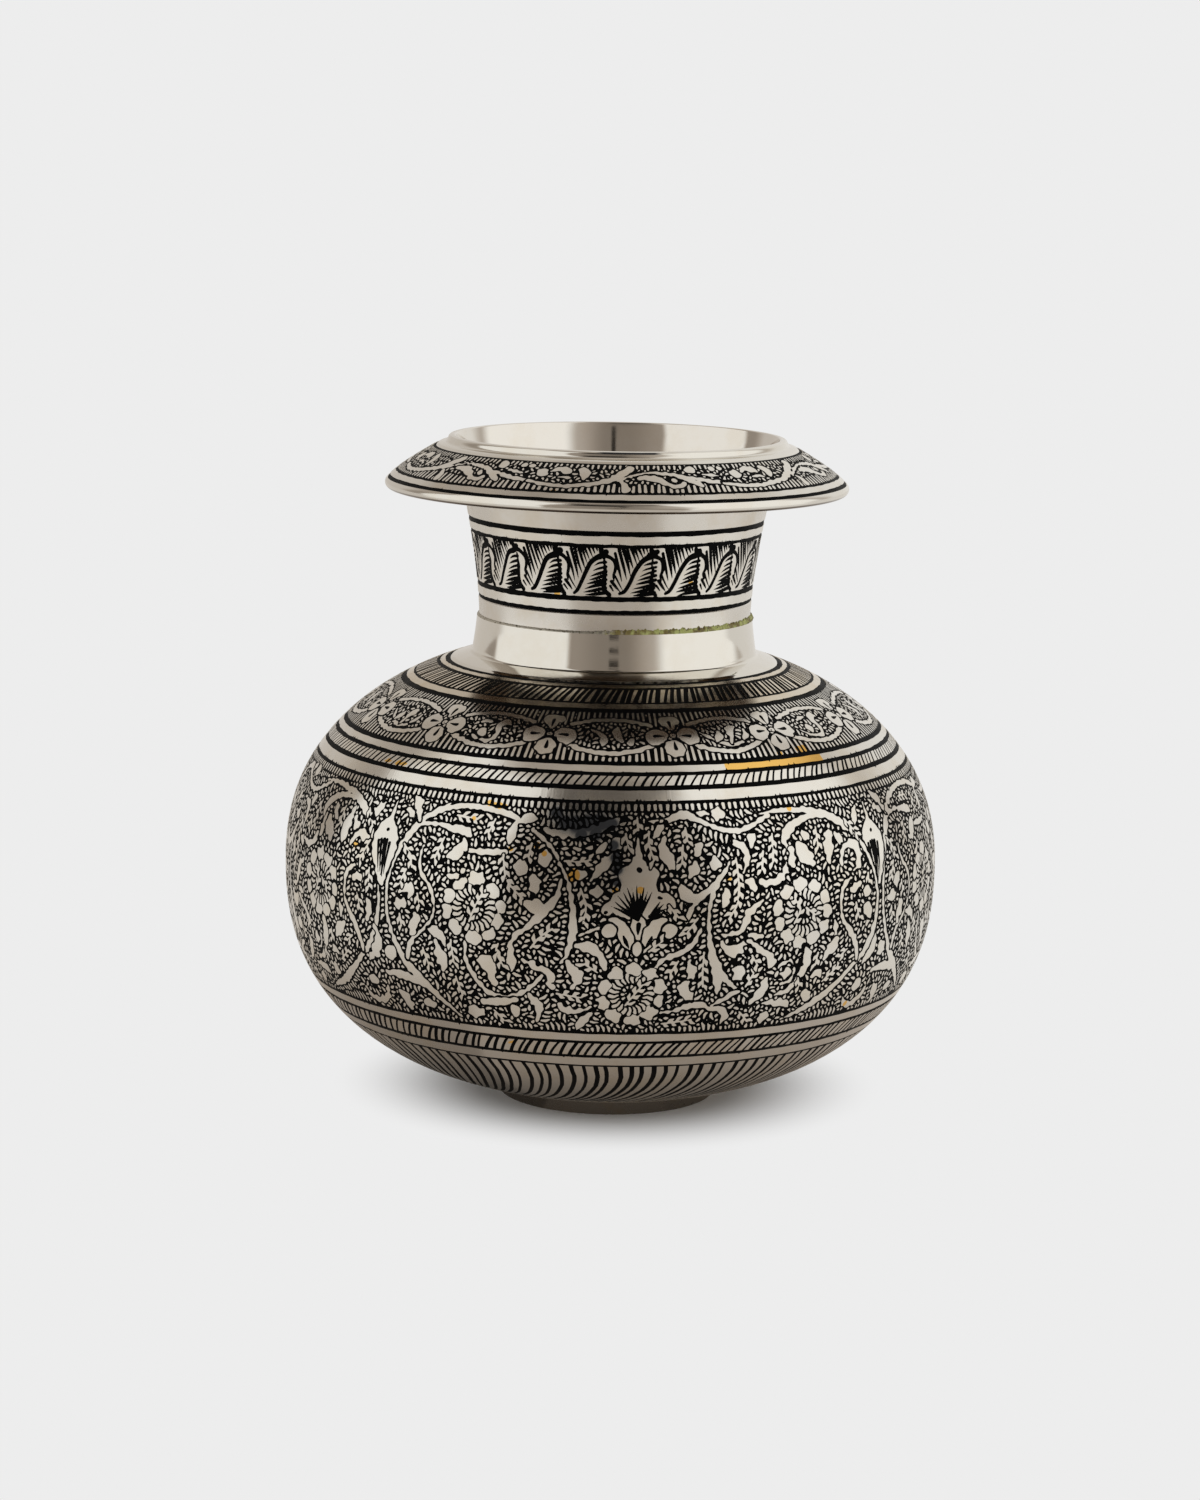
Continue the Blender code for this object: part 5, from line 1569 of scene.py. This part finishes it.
def solder_crust(random):
    """Bead in the corner, section by section round the neck. At height share s it stands out by its width
    there times (1 - s)^0.6; the height of a section grows with the crust and is ragged along its top."""
    turn = np.linspace(-np.pi, np.pi, BEAD_SECTIONS, endpoint=False)
    ragged, lumps = (sum(
        random.uniform(0.4, 1.0) * np.sin(waves * turn + random.uniform(0, 6.28)) for waves in group) / 2.2
        for group in ((61, 97, 143, 211, 263), (23, 41, 89, 131)))
    grown = np.clip((turn - CRUST_FROM) / 0.25, 0, 1) * np.clip((CRUST_TO - turn) / 0.2, 0, 1)
    crust = grown * np.clip(0.8 + 0.25 * lumps, 0.3, 1.2)
    height = BEAD_HEIGHT * (1 + 0.08 * ragged) + 0.5 * MM * crust * (1 + 0.3 * ragged)
    width = BEAD_WIDTH * (1 + 0.05 * lumps) + 0.16 * MM * crust * (1 + 0.5 * ragged)
    share = np.array((0.0, 0.06, 0.2, 0.4, 0.6, 0.8, 0.93, 1.0, 1.0, 0.5, 0.0))
    out = np.append((1 - share[:8]) ** 0.6, (-0.15, -0.15, -0.15))
    points = around(turn[:, None], NECK_RADIUS + width[:, None] * out, BEAD_LOW + height[:, None] * share)
    here = np.arange(points[..., 0].size).reshape(BEAD_SECTIONS, -1)
    nearby = np.roll(here, -1, axis=0)
    faces = np.stack((here, nearby, np.roll(nearby, -1, axis=1), np.roll(here, -1, axis=1)), axis=-1)
    mesh = new_mesh("neck_bead", points.reshape(-1, 3), faces.reshape(-1, 4))
    paint(mesh, "crust", np.repeat(crust, len(share)))
    return place("neck_bead", mesh, solder, BEAD_CREASE)


solder = tarnished_solder()
neck_bead = solder_crust(np.random.default_rng(17))
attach(neck_bead, "root")
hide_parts("neck_solder")

# Rim: a thick domed flange brazed round the mouth, rounded at its outer edge. At the mouth it turns up in a
# steep little roll that meets the neck's edge, polished down until no joint shows.

RIM_THICKNESS = 1.8 * MM
RIM_START = (LIP_RADIUS + FIT_GAP, MOUTH_HEIGHT - 0.4 * MM)
RIM_KNEE = (37.0 * MM, MOUTH_HEIGHT - 5.3 * MM)
RIM_END = (38.6 * MM, MOUTH_HEIGHT - 7.5 * MM)
DOME_POINTS = 204
RIM_CUT_FROM = 0.42 * MM
RIM_CUT_TO = 10.1 * MM
RIM_ROLL = [
    (29.9, -1.47), (29.35, -1.29), (28.9, -1.17), (28.6, -1.03), (28.44, -0.82), (28.34, -0.58),
    (28.24, -0.34), (28.08, -0.16), (27.9, -0.08), (27.7, -0.05)]


def rim_top(share):
    """Quadratic curve from the mouth towards the knee and down to the round edge."""
    share = np.asarray(share)[:, None]
    first, knee, last = np.array((RIM_START, RIM_KNEE, RIM_END))
    return (1 - share) ** 2 * first + 2 * share * (1 - share) * knee + share ** 2 * last


def rolled_top():
    """The dome up to the foot of the roll, then a smooth curve through the roll's points to the neck."""
    roll = smooth([(x, y, 0) for x, y in RIM_ROLL], 4)[:, :2] * MM + (0, MOUTH_HEIGHT)
    return np.vstack((rim_dome["point"][:DOME_POINTS], roll))


def rim_profile():
    """Flange from its bore out over the roll and the dome, round the edge, and back under, evenly thick."""
    top = outline_of_rim
    zone = ((top["run"] > RIM_CUT_FROM) & (top["run"] < RIM_CUT_TO))[:, None] * GROUND_DEPTH
    skin = (top["point"] - top["facing"] * zone)[::-1]
    under = (rim_dome["point"] - rim_dome["facing"] * RIM_THICKNESS)[::-1]
    middle = (top["point"][0] + under[-1]) / 2
    facing = np.arctan2(*(top["point"][0] - middle)[::-1])
    turns = np.linspace(facing, facing - np.pi, 17)[1:-1]
    edge = middle + RIM_THICKNESS / 2 * np.column_stack((np.cos(turns), np.sin(turns)))
    seat = np.interp(under[0, 1], neck["point"][:, 1], neck["point"][:, 0]) + FIT_GAP
    return np.vstack((skin[:42], skin[42::3], edge, under[::-6][:-1], [(seat, under[0, 1])]))


# The roll is darkened in the lac film's colour over a narrow stretch in front, through the "soot" attribute.
DARK_ARC_TURN = 0.065
DARK_ARC_WIDTH = 0.1
DARK_ARC_FROM, DARK_ARC_TO = 28.0, 28.65

rim_dome = measure(rim_top(np.linspace(1, 0, 240)))
outline_of_rim = measure(rolled_top())
# The flange's underside gets painted shade in dark brown through the plate's under share.
rim_plate = plated("plate_rim", turning=0.5, rubbing=0.2, staining=0.2, polish=0.08, under=1.0)
rim_shell = turned("rim_shell", rim_profile(), rim_plate)
spots = np.empty(len(rim_shell.data.vertices) * 3)
rim_shell.data.vertices.foreach_get("co", spots)
spots = spots.reshape(-1, 3)
turn, radius = np.arctan2(spots[:, 0], -spots[:, 1]), np.hypot(spots[:, 0], spots[:, 1]) / MM
on_roll = (radius > DARK_ARC_FROM) & (radius < DARK_ARC_TO) & (spots[:, 2] > RIM_START[1])
paint(rim_shell.data, "soot", np.clip(2.2 - np.abs((turn - DARK_ARC_TURN) / DARK_ARC_WIDTH), 0, 1) * on_roll)
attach(rim_shell, "root")
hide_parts("rim_flange")

# Rim band: a wavy creeper with a leaf or a berry in every bend, between combed strokes, with a silver ring
# and a thin black line outside it. Under the flange a fillet of solder holds it to the neck.

RIM_BAND_FROM = 2.6
RIM_BAND_TO = 9.85
FILLET_LEG = 1.3 * MM
CREEPER_WEAR = [(-16, 0, 0.4), (8, 0.2, 0.3)]
CREEPER_WIDTH = 56
CREEPER_TURNS = [(-54, 56), (2, 56), (58, 62), (120, 62), (-178, 62), (-116, 62)]

CREEPER = [
    [[(-26, 4.8, .3), (-22, 4.2, .38), (-17, 3.9, .4), (-12, 4.2, .45), (-7, 5, .5), (-3, 6, .65),
      (-.5, 7.4, .75), (1.8, 8.7, .75)],
     [(-1.8, 5.6, .2), (1, 6.6, .25), (4.5, 7.3, .3), (8, 7.6, .35), (11.5, 7.5, .4), (14.5, 7, .5),
      (17, 6.2, .6), (19, 5.3, .6), (20.5, 4.4, .45)],
     [(17.5, 6.5, .2), (21, 5.9, .45), (25, 5.2, .45), (30.2, 4.8, .3)],
     [(-.8, 5.2, .3), (0, 4.3, .6), (.2, 3.3, .7)]],
    [[(3.6, 6.2, .3), (6, 6.4, .6), (8.5, 6.1, .8), (10.5, 5.2, .6), (12.5, 4.3, .4), (14.5, 4.2, .45),
      (15.6, 4.7, .5)]],
    [[(19, 8.5, .9), (19.4, 8.4, .95)]], [[(26, 8.6, .55), (26.3, 8.7, .55)]],
    [[(28.6, 8.7, .5), (28.8, 8.6, .5)]], [[(32.6, 7, .95), (33.2, 7, 1)]],
    [[(35.2, 7.4, .2), (37.4, 8.1, .6), (39.6, 7.9, .8), (40.6, 7.4, .4)]],
    [[(44, 8.3, .6), (45.2, 7.3, .9), (44.8, 6, .4)]], [[(13.4, 5.9, .45), (13.8, 5.7, .4)]],
    [[(22.4, 7.2, .15), (24.6, 7, .35), (27, 6.6, .15)]], [[(38, 6, .15), (40, 6.2, .3), (42, 5.8, .12)]]]


def creeper_band(random):
    """Creeper, then combed strokes along both edges of the band, then hatching in what is left."""
    plate = band_blank(outline_of_rim, rim_datum, RIM_BAND_FROM, RIM_BAND_TO, 0.15)
    degree = plate["girth"] / 360
    for turn, width in CREEPER_TURNS:
        for motif in CREEPER:
            paths = []
            for path in motif:
                knots = np.array(path) * (width, 1, 1) / (CREEPER_WIDTH, 1, 1)
                paths.append(smooth(drawn(plate, knots, random, 0.04, turn, drop=RIM_BAND_FROM)))
            lay(plate, paths, gap=0.42)
    for x in np.arange(-180, 180, 1.6):
        here = (x + random.uniform(-0.15, 0.15)) * degree
        lean = random.uniform(0, 0.25)
        fill(plate, np.array([(here, 0.34, 0.27), (here + lean, random.uniform(1.5, 2.1), 0.2)]))
        low = plate["height"] - random.uniform(1.0, 1.4)
        fill(plate, np.array([(here, low, 0.16), (here + lean, plate["height"] - 0.45, 0.22)]))
    hatch(plate, random, pitch=0.98, length=1.3, width=0.44, row_gap=0.3, rows=3)
    return plate


UNDER_START = 30


def fillet_profile():
    """Three-cornered fillet between the neck and the underside of the flange, its open face hollowed."""
    lift = RIM_THICKNESS + FIT_GAP
    under = (rim_dome["point"] - rim_dome["facing"] * lift)[::-1]
    slope = (under[UNDER_START, 1] - under[0, 1]) / (under[UNDER_START, 0] - under[0, 0])
    start = np.interp(under[0, 1], neck["point"][:, 1], neck["point"][:, 0]) + FIT_GAP
    top = under[0, 1] + slope * (start - under[0, 0])
    low = top - FILLET_LEG
    foot = np.array((np.interp(low, neck["point"][:, 1], neck["point"][:, 0]) + FIT_GAP, low))
    corner = np.array((start + FILLET_LEG, top + slope * FILLET_LEG))
    share = np.linspace(0, 1, 7)[:, None]
    hollow = (1 - share) * corner + share * foot + share * (1 - share) * (-0.25 * MM, 0.25 * MM)
    return np.vstack(([(start, top)], hollow))


bands = np.random.default_rng(88)
rim_silver = plated("plate_rim_band", turning=0.7, staining=0.3, polish=0.14)
rim_datum = outline_of_rim["point"][0, 1]
ring_row("ring_round_rim", outline_of_rim, rim_datum, 1.05, 2.18, rim_silver, bands, (2, 16))
raise_metal(creeper_band(bands), "creeper_pattern", rim_silver, 0, 1, CREEPER_WEAR)
cut_levels = np.interp((RIM_CUT_FROM, RIM_CUT_TO), outline_of_rim["run"], outline_of_rim["point"][:, 1])
lac_filling("lac_in_rim", outline_of_rim, *cut_levels, 14, "rim_metal")
rim_fillet = turned("rim_fillet", fillet_profile(), solder, 300)
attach(rim_fillet, "root")
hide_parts("rim_solder")

bpy.context.scene.view_settings.view_transform = "Standard"
